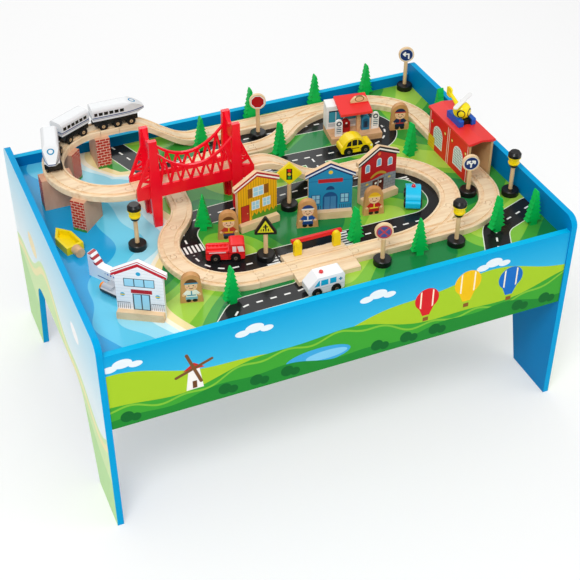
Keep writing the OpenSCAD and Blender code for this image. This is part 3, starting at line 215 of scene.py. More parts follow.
class Mat:
    """A material built from the object's own coordinates."""

    def __init__(self, name, rough=0.4, spec=0.3, metal=0.0):
        self.m = bpy.data.materials.new(name)
        self.m.use_nodes = True
        self.tree = self.m.node_tree
        self.bsdf = self.tree.nodes["Principled BSDF"]
        self.bsdf.inputs["Roughness"].default_value = rough
        self.bsdf.inputs["Specular IOR Level"].default_value = spec
        self.bsdf.inputs["Metallic"].default_value = metal
        c = self.node("ShaderNodeTexCoord", out="Object")
        scale = {"operation": "SCALE"}
        self.pos = self.node("ShaderNodeVectorMath", props=scale, Vector=c, Scale=MM)
        n = self.node("ShaderNodeSeparateXYZ", Vector=self.pos).out.node
        self.x, self.y, self.z = (Sock(self, s) for s in n.outputs)

    def put(self, socket, value):
        """Links a wrapped socket, or sets a plain value."""
        if isinstance(value, Sock):
            self.tree.links.new(value.out, socket)
        else:
            socket.default_value = value

    def node(self, kind, out=0, props=None, places=(), **inputs):
        """Any node: its settings, then its sockets by place or by name."""
        n = self.tree.nodes.new(kind)
        for k, v in (props or {}).items():
            setattr(n, k, v)
        for k, v in [*places, *inputs.items()]:
            self.put(n.inputs[k], v)
        return Sock(self, n.outputs[out])

    def math(self, op, *args, clamp=False):
        """A Math node on sockets or numbers."""
        props = {"operation": op, "use_clamp": clamp}
        return self.node("ShaderNodeMath", props=props, places=enumerate(args))

    def mix(self, f, a, b):
        """Colour a where the factor is 0, b where it is 1."""
        return self.node("ShaderNodeMix", 2, {"data_type": "RGBA"}, ((0, f), (6, a), (7, b)))

    def mask(self, sdf, edge=0.5):
        """1 inside, 0 outside, with a soft edge of the given width."""
        return self.math("SUBTRACT", 0.5, sdf * (1 / edge), clamp=True)

    def layers(self, base, *pairs, edge=0.5):
        """Colours laid over one another, each inside its own distance."""
        for sdf, colour in pairs:
            colour = rgb(colour) if isinstance(colour, str) else colour
            base = self.mix(self.mask(sdf, edge), base, colour)
        return base

    def noise(self, stretch, detail=3.0, rough=0.55):
        """Noise on the position in mm, stretched along each axis."""
        props = {"operation": "MULTIPLY"}
        v = self.node("ShaderNodeVectorMath", 0, props, ((0, self.pos), (1, stretch)))
        return self.node("ShaderNodeTexNoise", Vector=v, Scale=1.0, Detail=detail, Roughness=rough)

    def attribute(self, name):
        """A number that the mesh carries at its vertices."""
        return self.node("ShaderNodeAttribute", out="Fac", props={"attribute_name": name})

    def wood(self, light="f4dcb8", dark="dcb587", stretch=(0.012, 0.13, 0.13)):
        """Pale timber with long fibres and a finer fleck."""
        grain = self.noise(stretch, 4.0, 0.6)
        fleck = self.noise((0.05, 0.9, 0.9), 2.0, 0.5)
        f = self.math("MULTIPLY_ADD", grain - 0.42, 2.4, 0.3 * (fleck - 0.5), clamp=True)
        return self.mix(f, rgb(light), rgb(dark))

    def local(self, place):
        """Distance along, across and above the board at a place."""
        t = math.radians(place[2])
        dx, dy = self.x - place[0], self.y - place[1]
        u = dx * math.cos(t) + dy * math.sin(t)
        v = dy * math.cos(t) - dx * math.sin(t)
        return u, v, self.z - BOARD

    def done(self, colour, bump=0.0, scale=0.35):
        """Sets the colour, with a slight unevenness of the surface."""
        self.put(self.bsdf.inputs["Base Color"], colour)
        if bump:
            n = self.noise((scale, scale, scale), 2.0)
            b = self.node("ShaderNodeBump", Strength=bump, Distance=0.0004, Height=n)
            self.put(self.bsdf.inputs["Normal"], b)
        return self.m


def give(mat, *names):
    """Sets one material on CAD nodes."""
    for name in names:
        o = NODES[name]
        o.data.materials.clear()
        o.data.materials.append(mat)


def paint(name, code, rough=0.35, spec=0.35):
    """One colour of gloss paint, a little uneven."""
    m = Mat(name, rough, spec)
    f = m.noise((0.02, 0.02, 0.02), 2.0)
    c = np.array(rgb(code))
    return m.done(m.mix(f, tuple(c), (*(c[:3] * 0.9), 1.0)), 0.08)


# Table

def balloon(u, h, x, y, r, code):
    """A striped balloon with its basket."""
    skirt = mx(ab(u - x) + (y - h) * 0.42 - r * 0.94, h - y, y - 1.55 * r - h)
    return [(mn(disc(u, h, x, y, r), skirt), code),
            (mx(ab(ab(u - x) - r * 0.5) - 1.4, disc(u, h, x, y, r - 2)), "fff3d6"),
            (box(u, h, x, y - 1.9 * r, 5.5, 4.5), "8a5a2b")]


def windmill(u, h, x, y):
    """A white mill with a red cap and four sails."""
    pairs = [(mx(ab(u - x) - 15.0 + (h - 44.0) * 0.13, h - y, 40.0 - h), "f4f1ea"),
             (mx(ab(u - x) * 0.75 + h - y - 15.0, y - h), "c9302c"),
             (box(u, h, x, 50, 4, 8), "6b4526")]
    for a in (20, 110, 200, 290):
        t = math.radians(a)
        tip = (x + 34 * math.cos(t), y + 2 + 34 * math.sin(t))
        pairs.append((bar(u, h, (x, y + 2), tip, 3.0), "7a5230"))
    return pairs


def landscape(m, u, h):
    """Hills under a sky, with balloons, a windmill, a pond and bushes, in u across and h up."""
    rise = m.math("MULTIPLY", h - 40.0, 1 / 120.0, clamp=True)
    sky = m.mix(rise, rgb("4cc4e8"), rgb("00a2da"))
    far = h - (92.0 + 26 * sin(u * (1 / 118.0) - 0.6) + 6 * sin(u * (1 / 37.0)))
    near = h - (60.0 + 20 * sin(u * (1 / 95.0) + 2.2) + 5 * sin(u * (1 / 34.0) + 1.0))
    fore = h - (26.0 + 9 * sin(u * (1 / 71.0) + 4.0) + 4 * sin(u * (1 / 23.0)))
    puff = mod(u + 60.0, 230.0)
    cloud = mn(disc(puff, h, 90, 132, 13, 1.9), disc(puff, h, 112, 138, 17, 1.8),
               disc(puff, h, 134, 131, 12, 1.9))
    hedge = ab(near + 8.0 + 5 * sin(u * (1 / 15.0))) - 2.2
    leaf = mod(u + 17.0, 58.0)
    bush = mx(mn(disc(leaf, h, 14, 20, 12), disc(leaf, h, 29, 15, 9)),
              ab(mod(u, 290.0) - 120.0) - 92.0)
    pairs = [(cloud, "e8f1f5"), (far, "a8cd2c"), (near, "3fa535"), (mx(near, hedge), "7fc23a"),
             (disc(u, h, -60, 34, 62, 3.4), "3fa9df"), (disc(u, h, -44, 33, 40, 4.2), "7fcbee"),
             (fore, "238a33"), (bush, "14692c")]
    for x, y, r, code in ((150, 96, 24, "d8262b"), (232, 108, 27, "f2c21b"), (322, 92, 25, "1b6fc4")):
        pairs += balloon(u, h, x, y, r, code)
    return m.layers(sky, *pairs, *windmill(u, h, -288, 84), edge=0.9)


m = Mat("printed_side", 0.35, 0.05)
face = m.mask(INNER_W / 2 + PANEL_T - SKIN - ab(m.y), SKIN)
# Inner face and edges get a darker blue as painted shade; above SIDE_RIM the rim gets a lighter cyan as
# painted light on the top.
rim = m.mask(SIDE_RIM - m.z, SKIN)
edges_painted_shade_and_light = m.mix(rim, rgb("0079bb"), rgb("00b2e2"))
give(m.done(m.mix(face, edges_painted_shade_and_light, landscape(m, m.x, m.z - SIDE_FOOT)), 0.03),
     "side_panel_front", "side_panel_back")

m = Mat("printed_end", 0.35, 0.05)
outside = m.mask(INNER_L / 2 + PANEL_T - SKIN - ab(m.x), 0.2)
# The inner face gets a darker blue than the other edges: painted shade.
inside = m.mask(ab(m.x) - INNER_L / 2 - SKIN, 0.2)
edge_blue_painted_shade = m.mix(inside, rgb("009fd8"), rgb("0083c4"))
wave = m.y * (1 / 90.0)
hills = m.z - (250.0 + 45 * sin(wave + 1.0) + 18 * sin(m.y * (1 / 37.0)))
low = m.z - (150.0 + 40 * sin(wave * 1.3 + 3.0))
rise = m.math("MULTIPLY", m.z - 240.0, 1 / 190.0, clamp=True)
soft = m.layers(m.mix(rise, rgb("e6f4f8"), rgb("a5dbf1")), (hills, "d2ecac"),
                (ab(hills + 22.0) - 9.0, "f1eaac"), (low, "b9e39b"),
                (disc(m.y, m.z, 150, 300, 34, 1.5), "f3e3b4"),
                (disc(m.y, m.z, -170, 330, 26, 1.6), "ffffff"), edge=4.0)
give(m.done(m.mix(outside, edge_blue_painted_shade, soft), 0.03), "end_panel_left", "end_panel_right")

m = Mat("sawn_timber", 0.6)
give(m.done(m.wood("d9b98a", "b48a58"), 0.2), "board_battens", "cross_rail")
m = Mat("zinc", 0.35, metal=1.0)
give(m.done(m.mix(m.noise((0.6, 0.6, 0.6)), rgb("c9cbcd"), rgb("96999c")), 0.05), "cam_fittings")


def path(points, step=6.0):
    """A polyline through points of [x, y, corner radius], with round corners, as an array."""
    out = []
    n = len(points)
    for i, (x, y, r) in enumerate(points):
        p = np.array([x, y], float)
        if r == 0:
            out.append(p[None])
            continue
        a = np.array(points[i - 1][:2], float) - p
        b = np.array(points[(i + 1) % n][:2], float) - p
        a, b = a / np.hypot(*a), b / np.hypot(*b)
        half = math.acos(np.clip(a @ b, -1, 1)) / 2
        c = p + (a + b) / np.hypot(*(a + b)) * r / math.sin(half)
        s, e = p + a * r / math.tan(half) - c, p + b * r / math.tan(half) - c
        t0, t1 = math.atan2(s[1], s[0]), math.atan2(e[1], e[0])
        t1 = t0 + (t1 - t0 + math.pi) % (2 * math.pi) - math.pi
        t = np.linspace(t0, t1, max(3, int(abs(t1 - t0) * r / step) + 2))
        out.append(c + r * np.stack([np.cos(t), np.sin(t)], 1))
    return np.concatenate(out)


def along(px, py, line, closed):
    """Signed and plain distance to a polyline, and length along it, at whole arrays of points."""
    pts = np.concatenate([line, line[:1]]) if closed else line
    best = np.full(px.shape, 1e9)
    side, run = np.zeros_like(best), np.zeros_like(best)
    start = 0.0
    for a, b in zip(pts[:-1], pts[1:]):
        d = b - a
        length = np.hypot(*d)
        if length < 1e-6:
            continue
        t = np.clip(((px - a[0]) * d[0] + (py - a[1]) * d[1]) / length ** 2, 0, 1)
        ex, ey = px - a[0] - t * d[0], py - a[1] - t * d[1]
        dist = np.hypot(ex, ey)
        near = dist < best
        best = np.where(near, dist, best)
        side = np.where(near, np.sign(d[0] * ey - d[1] * ex) * dist, side)
        run = np.where(near, start + t * length, run)
        start += length
    return side, best, run


# Middle line of each road on the board, as corners with their radii, and whether it closes
ROADS = {
    "ring": ([(-205, -160, 60), (295, -160, 75), (295, 8, 70), (70, 22, 40), (-205, 6, 60)], True),
    "back": ([(-60, 128, 40), (170, 118, 30), (300, 110, 60), (310, 226, 60), (60, 236, 40),
              (-60, 232, 30)], True),
    "spur": ([(120, 120, 0), (118, 24, 0)], False),
    "lane": ([(-40, -160, 0), (-40, -264, 34), (-180, -266, 44), (-222, -313, 0)], False),
    "west": ([(-60, 180, 0), (-196, 194, 60), (-238, 313, 0)], False),
    "corner": ([(437, -196, 0), (338, -232, 60), (300, -313, 0)], False),
}
ROAD_HALF = {"ring": 25.0, "back": 24.0, "spur": 20.0, "lane": 22.0, "west": 24.0, "corner": 24.0}
# Middle and half size of each zebra crossing
ZEBRAS = [(-82, -160, 12, 24), (66, -160, 12, 24), (118, 60, 19, 10), (-205, -80, 24, 11),
          (255, -36, 10, 22), (20, 122, 10, 22), (-40, -236, 20, 10), (-128, 187, 9, 22)]


def board_mesh():
    """The play board: a flat grid over its length and width whose vertices carry the distances of
    its roads and shores, closed below by the same grid's outline at the board's underside."""
    nx, ny = 300, 216
    xs = np.linspace(-INNER_L / 2, INNER_L / 2, nx)
    ys = np.linspace(-INNER_W / 2, INNER_W / 2, ny)
    gx, gy = (g.ravel() for g in np.meshgrid(xs, ys))
    top = np.stack([gx, gy, np.full_like(gx, BOARD)], 1)
    i = (np.arange(ny - 1)[:, None] * nx + np.arange(nx - 1)).ravel()
    faces = [np.stack([i, i + 1, i + 1 + nx, i + nx], 1)]
    ring = np.concatenate([np.arange(nx), nx - 1 + nx * np.arange(1, ny),
                           nx * ny - 2 - np.arange(nx - 1), nx * np.arange(ny - 2, 0, -1)])
    low = top[ring] - (0, 0, BOARD_T)
    k = np.arange(len(ring))
    nxt = np.roll(k, -1)
    faces.append(np.stack([ring[k], nx * ny + k, nx * ny + nxt, ring[nxt]], 1))
    verts = np.concatenate([top, low])
    under = (nx * ny + k[::-1]).tolist()
    me = bpy.data.meshes.new("board_print")
    me.from_pydata((verts / MM).tolist(), [], np.concatenate(faces).tolist() + [under])

    def carry(name, values):
        """Keeps one number per vertex under a name."""
        data = me.attributes.new(name, "FLOAT", "POINT").data
        data.foreach_set("value", values.astype(np.float32))

    px, py = verts[:, 0], verts[:, 1]
    for name, (corners, closed) in ROADS.items():
        for kind, values in zip(("_side", "_far", "_run"), along(px, py, path(corners), closed)):
            carry(name + kind, values)
    bay = 40 * np.exp(-((py + 215) / 60) ** 2)
    shore = px + 262 - 34 * np.sin(py / 78 + 0.9) - 14 * np.sin(py / 31 + 2) + bay
    lake = np.hypot(px + 268, (py - 152) * 1.5) - 78 - 6 * np.sin(px / 17)
    carry("shore", np.minimum(shore, lake))
    o = bpy.data.objects.new("board_print", me)
    bpy.context.scene.collection.objects.link(o)
    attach(o, "table")
    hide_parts("play_board")
    return o


def board_finish(m):
    """Meadows in four greens, a shore of four blues, and black roads with white marks."""
    x, y = m.x, m.y
    patch = sin(x * (1 / 47.0) + 1.7 * sin(y * (1 / 61.0)))
    patch = patch + sin(y * (1 / 39.0) + 1.3 * sin(x * (1 / 53.0) + 1.0))
    shore = m.attribute("shore")
    ripple = shore + 6 * sin(y * (1 / 21.0)) + 4 * sin(x * (1 / 13.0))
    ground = m.layers(rgb("3d9b3a"), ((0.35 - patch) * 20.0, "7dbd3a"), ((patch + 0.6) * 20.0, "1a7d3f"),
                      ((1.25 - patch) * 20.0, "a6d04b"), (shore - 26.0, "f0dfa2"),
                      (shore - 10.0, "f6f0d8"), (shore, "cdeff6"), (ripple + 14.0, "98dcef"),
                      (ripple + 54.0, "5ec8e6"), (ripple + 104.0, "1ea2d8"), edge=1.2)
    far = {n: m.attribute(n + "_far") for n in ROADS}
    tar = mn(*[far[n] - ROAD_HALF[n] for n in ROADS])
    kerb = tar - 1.6
    tint = m.mix(m.noise((0.012, 0.012, 0.012), 2.0), rgb("060607"), rgb("2a2c2e"))
    dashes = mn(*[mx(ab(m.attribute(n + "_side")) - 1.7, far[n] - 4.0,
                     stripes(m.attribute(n + "_run"), 26.0, 0.45)) for n in ROADS])
    zebra = mn(*[mx(box(x, y, cx, cy, hx, hy), stripes(y if hx < hy else x, 7.5, 0.55))
                 for cx, cy, hx, hy in ZEBRAS])
    clear = mn(*[box(x, y, cx, cy, hx + 4, hy + 4) for cx, cy, hx, hy in ZEBRAS])
    return m.layers(ground, (kerb, "e9efe0"), (tar, tint), (mx(dashes, tar + 6.0, -clear), "f2f2ee"),
                    (mx(zebra, tar + 1.0), "f4f4f0"), edge=0.8)


m = Mat("board_print", 0.16, 0.18)
board_mesh().data.materials.append(m.done(board_finish(m), 0.02))

# Railway and bridge
m = Mat("beech_track", 0.42, 0.25)
give(m.done(m.wood(), 0.12),
     "ground_track", "switch_tracks", "raised_track", "ramp_tracks", "crossing_track")
give(paint("bridge_red", "fb0d28", 0.2, 0.4), "suspension_bridge")

m = Mat("brick_ends", 0.5)
dx, dy = m.x - LOOP[0], m.y - LOOP[1]
r = root(dx * dx + dy * dy)
eighth = math.pi / 4
stray = mod(m.math("ARCTAN2", dy, dx) + eighth / 2, eighth) - eighth / 2
out, t = r * m.math("COSINE", stray), r * sin(stray)
h = m.z - BOARD
shift = m.math("FLOOR", h * (1 / 6.0)) * 6.0
mortar = mn(mod(h, 6.0) - 1.1, ab(mod(t + shift, 12.0) - 6.0) - 0.55)
bricks = m.layers(rgb("b92f1e"), (mortar, "e8c8b0"), edge=0.4)
bricks = m.layers(bricks, (h - 5.5 - 1.5 * sin(t * 0.9), "3c8f33"), edge=0.6)
ends = m.mask(PIER_END - ab(out - R), 0.3)
timber = m.wood("dcab8c", "c08a6c", (0.05, 0.05, 0.02))
give(m.done(m.mix(ends, timber, bricks), 0.1), "bridge_piers")

give(paint("post_yellow", "f7d808"), "barrier_posts")
m = Mat("bar_red", 0.35, 0.35)
PIN_HEAD = 2.4  # the pin's yellow head at the bar's near side
head = m.mask(m.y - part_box("barrier")[0].y * MM - PIN_HEAD, 0.2)
give(m.done(m.mix(head, rgb("dc141b"), rgb("f7d808")), 0.08), "barrier")

# Scenery
m = Mat("tree_green", 0.4, 0.15)
f = m.noise((0.03, 0.03, 0.1), 3.0)
give(m.done(m.mix(f, rgb("08c858"), rgb("06a546")), 0.15), "trees")

m = Mat("stand", 0.35, 0.35)
rod = m.wood("e6c394", "caa06d", (0.1, 0.1, 0.015))
give(m.done(m.layers(rod, (m.z - BOARD - STAND_FOOT, "0f0f10")), 0.1), "post_stands")

m = Mat("lamp", 0.3, 0.35)
share = (m.z - BOARD - LAMP_Z) * (1 / LAMP_H)
give(m.done(m.layers(rgb("0f0f10"), ((ab(share - 0.43) - 0.25) * LAMP_H, "f6d80e")), 0.05), "lamp_heads")


def here(m, place, reach):
    """1 near a place on the board, 0 beyond its reach."""
    return m.mask(disc(m.x, m.y, place[0], place[1], reach), 0.5)


def octagon(m, u, h, ground):
    """A plain red octagon with a white rim."""
    au, ah = ab(u), ab(h - 15.0)
    plate = mx(au - 12.6, ah - 12.6, (au + ah) * 0.7071 - 12.6)
    return m.layers(ground, (plate, "f4f4f2"), (plate + 1.5, "b5121b"))


def blue_disc(m, u, h, ground, strokes):
    """A blue round with white strokes."""
    marks = mn(*[bar(u, h, a, b, 1.45) for a, b in strokes])
    return m.layers(ground, (disc(u, h, 0, 15, 12.8), "dfe4ee"), (disc(u, h, 0, 15, 12.0), "14306b"),
                    (marks, "f4f4f2"))


def turn_left(m, u, h, ground):
    """An arrow that bends to the left."""
    return blue_disc(m, u, h, ground, [((4.5, 8), (4.5, 17)), ((4.5, 17), (-6, 17)),
                                       ((-6, 17), (-2.5, 20.5)), ((-6, 17), (-2.5, 13.5))])


def fork(m, u, h, ground):
    """An arrow that parts to both sides, the same to the left and right."""
    half = [((0, 14), (6.5, 19)), ((6.5, 19), (6.5, 14.5)), ((6.5, 19), (2, 19.5))]
    return blue_disc(m, ab(u), h, ground, [((0, 8), (0, 14)), *half])


def no_stopping(m, u, h, ground):
    """A blue round with a red ring and cross."""
    cross = mn(bar(u, h, (-7, 8), (7, 22), 1.3), bar(u, h, (-7, 22), (7, 8), 1.3))
    return m.layers(ground, (disc(u, h, 0, 15, 12.6), "b9404a"), (disc(u, h, 0, 15, 10.2), "46508f"),
                    (mx(cross, disc(u, h, 0, 15, 12.6)), "b9404a"))


def signal_ahead(m, u, h, ground):
    """A traffic light: three rounds on a dark box."""
    lights = [(disc(u, h, 0, y, 3.0), c) for y, c in ((28, "d9261c"), (21, "f0c419"), (14, "2a9d46"))]
    return m.layers(ground, (box(u, h, 0, 21, 5.0, 11.0), "1a1a1a"), *lights)


def crossing_ahead(m, u, h, ground):
    """A yellow triangle with stripes and a plain walker."""
    field = mx(4.0 - h, ab(u) * 0.866 + (h - 27.0) * 0.5)
    lines = mx(field + 2.2, box(u, h, 0, 8, 8, 3.5), stripes(u + 1.5, 4.0))
    walker = mn(box(u, h, 0, 15, 1.4, 4.5), box(u, h, 0, 15, 4.0, 1.2))
    return m.layers(ground, (field, "d9d31f"), (lines, "1a1a1a"), (walker, "1a1a1a"))


# What each plate shows, and the paint of its edges and back where they aren't bare wood
SIGN_PRINTS = [(octagon, None), (turn_left, None), (fork, None), (no_stopping, None),
               (signal_ahead, "f7e00c"), (crossing_ahead, "101010")]
# Prints are drawn for a plate 30 wide and a figure 36 wide and 52 tall
SIGN_SHARE, FIGURE_SHARES = 30 / 33, (36 / 40, 52 / 59)
m = Mat("sign_prints", 0.4)
wood = m.wood("eed0a6", "d6ae7b", (0.04, 0.04, 0.04))
colour = wood
for p, rod, (draw, paint_code) in zip(SIGNS, SIGN_RODS, SIGN_PRINTS):
    u, v, h = m.local(p)
    u, h = u * SIGN_SHARE, (h - rod) * SIGN_SHARE
    part = here(m, p, PLATE_REACH)
    if not paint_code:
        part = part * m.mask(v + PLATE_FRONT, 0.2)
    colour = m.mix(part, colour, draw(m, u, h, rgb(paint_code) if paint_code else wood))
give(m.done(colour, 0.08), "sign_plates")

# Clothing, trousers, hat or hair, and belt of each printed figure
FIGURE_INKS = [("c23a2e", "2f3e63", "6b3f1f", "f0c419"), ("f3f3f0", "7fb4cf", "5a3a22", "3f8fb5"),
               ("1f4f9c", "1b3f80", "25407c", "f2f2f2"), ("c4161c", "b01217", "e9b21e", "f5d443"),
               ("1c2a55", "16213f", "1c2a55", "c23a2e")]


def figure(m, u, h, wood, coat, legs, hat, trim):
    """A plain standing figure, the same to the left and right."""
    au = ab(u)
    smile = mx(disc(u, h, 0, 29.4, 3.6), h - 28.6, -disc(u, h, 0, 31.0, 3.8))
    return m.layers(
        wood, (mx(disc(au, h, 4.5, 9.0, 4.8, 0.8), h - 14.0), legs),
        (disc(au, h, 5.0, 4.0, 4.0, 1.4), "1a1a1a"),
        (mx(au - 8.2 + (h - 12.0) * 0.12, h - 24.0, 11.0 - h), coat),
        (bar(au, h, (6.5, 21.5), (11.5, 16.0), 2.4), coat), (disc(au, h, 12.6, 14.8, 2.3), "f1c39a"),
        (box(au, h, 0, 14.0, 7.0, 1.1), trim), (mx(au - 1.0, 14.0 - h, h - 23.0), trim),
        (disc(u, h, 0, 32.0, 9.6), "f4c9a0"), (mx(disc(u, h, 0, 34.0, 10.4), 36.0 - h), hat),
        (box(u, h, 0, 36.2, 10.6, 1.2), trim), (disc(au, h, 3.4, 32.0, 1.0), "1c1410"),
        (smile, "8f2f25"), (disc(au, h, 6.0, 29.4, 1.5), "eaa58a"), edge=0.4)


m = Mat("figure_prints", 0.42)
wood = m.wood("d19c62", "b27a45", (0.05, 0.05, 0.02))
colour = wood
for p, inks in zip(FIGURES, FIGURE_INKS):
    u, v, h = m.local(p)
    front = here(m, p, FIGURE_REACH) * m.mask(FIGURE_FACE - ab(v), 0.2)
    u, h = u * FIGURE_SHARES[0], h * FIGURE_SHARES[1]
    colour = m.mix(front, colour, figure(m, u, h, wood, *inks))
give(m.done(colour, 0.08), "figures")


# House fronts: every print is drawn in u across and h up, over the bare timber of the edges
def roof_band(m, u, h, wall, edge_ink, band_ink, cuts=(4.0, 7.5, 11.0)):
    """A band of two inks along the slopes of the roof."""
    drop = HOUSE_PEAK - 0.5 * ab(u) - h
    inks = zip(reversed(cuts), (edge_ink, band_ink, edge_ink))
    return m.layers(wall, *[(drop - c, ink) for c, ink in inks])


def window(u, h, cx, cy, hw, hh, glass="a9d8ee", frame_ink="f4f4f0"):
    """Frame, panes and glazing bars."""
    pane = box(u, h, cx, cy, hw, hh)
    return [(box(u, h, cx, cy, hw + 1.4, hh + 1.4), frame_ink), (pane, glass),
            (mx(pane, mn(ab(u - cx), ab(h - cy)) - 0.6), frame_ink)]


def close_house(m, name, v, ink, edge=None):
    """The print on both faces; edges of timber or of the given colour, and a timber plinth."""
    timber = m.wood("efcda2", "d9b081", (0.02, 0.06, 0.06))
    face = m.mask(HOUSE_T / 2 - 0.2 - ab(v), 0.2)
    foot = m.mask(v + HOUSE_T / 2 + 0.3, 0.2)
    wall = m.mix(face, rgb(edge) if edge else timber, ink)
    give(m.done(m.mix(foot, wall, timber), 0.08), name)


def cottage():
    """Yellow planks, a red door, shuttered windows and a hedge."""
    m = Mat("cottage_print")
    u, v, h = m.local(HOUSES["cottage"])
    planks = m.layers(rgb("f0b010"), (ab(mod(u, 5.2) - 2.6) - 0.4, "a87c0e"))
    wall = roof_band(m, u, h, planks, "b8222a", "fff6ea")
    shutter = ab(u - 2)
    vine = mx(h - 26.0 - 3 * sin(u * 0.7), -(u + 12.0), 14.0 - h)
    ink = m.layers(wall, *window(u, h, 2, 74, 10, 9), (box(shutter, h, 17, 74, 5, 10), "9a5b1e"),
                   (mx(box(shutter, h, 17, 74, 4, 9), stripes(h, 3.0, 0.3)), "7a4414"),
                   *window(u, h, -4, 45, 7, 8), *window(u, h, 19, 46, 7, 8),
                   (box(u, h, -26, 33, 9, 18), "8d1a18"), (box(u, h, -26, 33, 7.6, 16.6), "bf2a26"),
                   (disc(u, h, -21, 32, 1.0), "f4d27a"), (vine, "4f9424"))
    close_house(m, "cottage", v, ink)


def police_station():
    """A blue wall with a plain red plate, a double door and railings."""
    m = Mat("police_print")
    u, v, h = m.local(HOUSES["police_station"])
    wall = roof_band(m, u, h, rgb("2188b4"), "172a63", "dfe6f4")
    door, rail = box(u, h, 0, 29, 11, 14), box(ab(u), h, 28, 20, 12, 4)
    ink = m.layers(wall, (ab(h - 78.0) - 0.5, "1a4f86"), (box(u, h, 0, 78, 23, 4.2), "b81f28"),
                   (disc(u, h, 0, 96, 4.0), "e9c43b"), (arch(u, h, 0, 15, 14, 38), "1a4f86"),
                   (door, "3f7fb0"), (mx(door, ab(u) - 0.6), "1a4f86"),
                   (mx(disc(u, h, 0, 58, 8), 58.0 - h), "1a3f70"),
                   *window(ab(u), h, 27, 38, 7, 9, "8fc4dc", "1a4f86"),
                   (mx(rail, stripes(u, 4.0, 0.3)), "1c3059"))
    close_house(m, "police_station", v, ink)


def fire_station():
    """Brick over stone, with three arched windows and a double door."""
    m = Mat("fire_print")
    u, v, h = m.local(HOUSES["fire_station"])
    au = ab(u)
    course = m.math("FLOOR", h * (1 / 7.0)) * 5.0
    joints = mn(mod(h, 7.0), mod(u + course, 11.0)) - 0.8
    stone = m.layers(rgb("8a8d91"), (joints, "64676c"))
    brick = m.layers(rgb("b80f16"), (mod(h, 4.0) - 0.5, "960d14"))
    wall = m.mix(m.mask(h - 48.0 - 2 * sin(u * 0.08)), brick, stone)
    wall = roof_band(m, u, h, wall, "201c1c", "f3eee6")
    door = box(u, h, 0, 29, 12, 13)
    ink = m.layers(wall, (arch(au, h, 26, 66, 5.6, 18), "f1efe9"),
                   (arch(au, h, 26, 67.5, 4.2, 15), "7fb0cc"),
                   (arch(u, h, 0, 72, 5.6, 18), "f1efe9"), (arch(u, h, 0, 73.5, 4.2, 15), "7fb0cc"),
                   (disc(u, h, 0, 99, 3.6), "e0622a"),
                   (ab(disc(u, h, 0, 36, 22)) - 2.6 + mx(0.0, 52.0 - h), "b8942f"),
                   (door - 1.0, "4d0f11"), (mx(door, ab(u) - 0.5), "f1efe9"),
                   (disc(au, h, 5.5, 36, 2.6), "e8e4dc"), (disc(au, h, 26, 40, 3.2, 1.6), "e9c43b"))
    close_house(m, "fire_station", v, ink)


def hospital():
    """White boards with a row of panes, a glass door, two lamps and railings."""
    m = Mat("hospital_print")
    u, v, h = m.local(HOUSES["hospital"])
    au = ab(u)
    boards = m.layers(rgb("f4f6f7"), (mod(h, 6.5) - 0.5, "d5dade"))
    wall = roof_band(m, u, h, boards, "c51c2a", "f4f6f7", (1.6, 4.0, 10.4))
    panes, door = box(u, h, 0, 72, 25, 7.5), box(ab(u - 2), h, 7, 32, 6, 15.5)
    lamp, fence = disc(au, h, 30, 46, 4.0), box(au, h, 30, 23, 12, 7)
    ink = m.layers(wall, (panes - 1.2, "2f3a42"), (panes, "a4def2"),
                   (mx(panes, ab(au - 8.5) - 0.8), "2f3a42"),
                   (disc(u, h, 0, 91, 4.0), "2aa9d2"), (box(u, h, 3, 54, 18, 4), "b81f28"),
                   (box(u, h, 2, 32, 15, 17), "3c474d"), (door, "a4def2"), (lamp, "2aa9d2"),
                   (mx(lamp, ab(h - 45.5) - 1.3), "f2d43a"),
                   (mx(fence, mn(stripes(u, 3.4, 0.25), ab(h - 29.5) - 0.6)), "3c474d"))
    close_house(m, "hospital", v, ink, "f4f6f7")


for build in (cottage, police_station, fire_station, hospital):
    build()

# Filling station
m = Mat("station_print")
u, v, h = m.local(STATION)
timber = m.wood("e0b285", "c48f5c", (0.03, 0.08, 0.08))
pane = box(u, h, -34, 40, 14, 12)
shop = m.layers(rgb("f2f3f2"), (box(u, h, -34, 42, 15, 13), "18203c"), (pane, "3a9db5"),
                (mx(pane, ab(u + 34.0) - 0.8), "f2f3f2"), (box(u, h, 0, 42, 14, 11), "3a9db5"),
                (box(u, h, -20, 22, 30, 4), "c9cfd2"))
column = m.mask(mx(ab(u - 8.6) - 3.6, v + 2.5), 0.2)
colour = m.mix(m.mask(STATION_FLOOR - h, 0.2), timber, shop)
give(m.done(m.mix(column, colour, timber), 0.08), "filling_station")

m = Mat("canopy_print", 0.32, 0.35)
u, v, h = m.local(STATION)
plate = m.mask(disc(u, h, 13, 78, 21, 1.2), 0.5) * m.mask(-(h - 71.0 - v * 0.25), 0.3)
timber = m.wood("eccb96", "d3a970", (0.04, 0.04, 0.04))
oval = m.layers(timber, (ab(disc(u, h, 13, 79, 9, 1.6)) - 1.0, "8a5a22"))
give(m.done(m.mix(plate, rgb("ec3432"), oval), 0.08), "station_canopy")

m = Mat("pump_prints", 0.32, 0.35)
u, v, h = m.local(STATION)
h = h - 13.0
side = ab(u - 4.0)
red = m.layers(rgb("a81118"), (box(u, h, -17, 15, 4.5, 4.5), "6c0b10"),
               (disc(u, h, -17, 21, 2.2), "e8e4dc"))
blue = m.layers(rgb("2a80a8"), (arch(u, h, 24, 5, 6.5, 22), "19577c"),
                (box(u, h, 24, 13, 3.4, 7), "122c47"))
white = m.layers(rgb("f3f4f3"), (ab(disc(side, h, 40.7, 29, 4.2)) - 1.3, "1b2a4a"),
                 (mx(box(side, h, 40.7, 14, 5, 7), stripes(h, 4.6, 0.5)), "1f5a70"))
left = m.mix(m.mask(-u - 27.0, 0.3), white, red)
right = m.mix(m.mask(u - 34.0, 0.3), white, blue)
give(m.done(m.mix(m.mask(4.0 - u, 0.3), left, right), 0.05), "fuel_pumps")

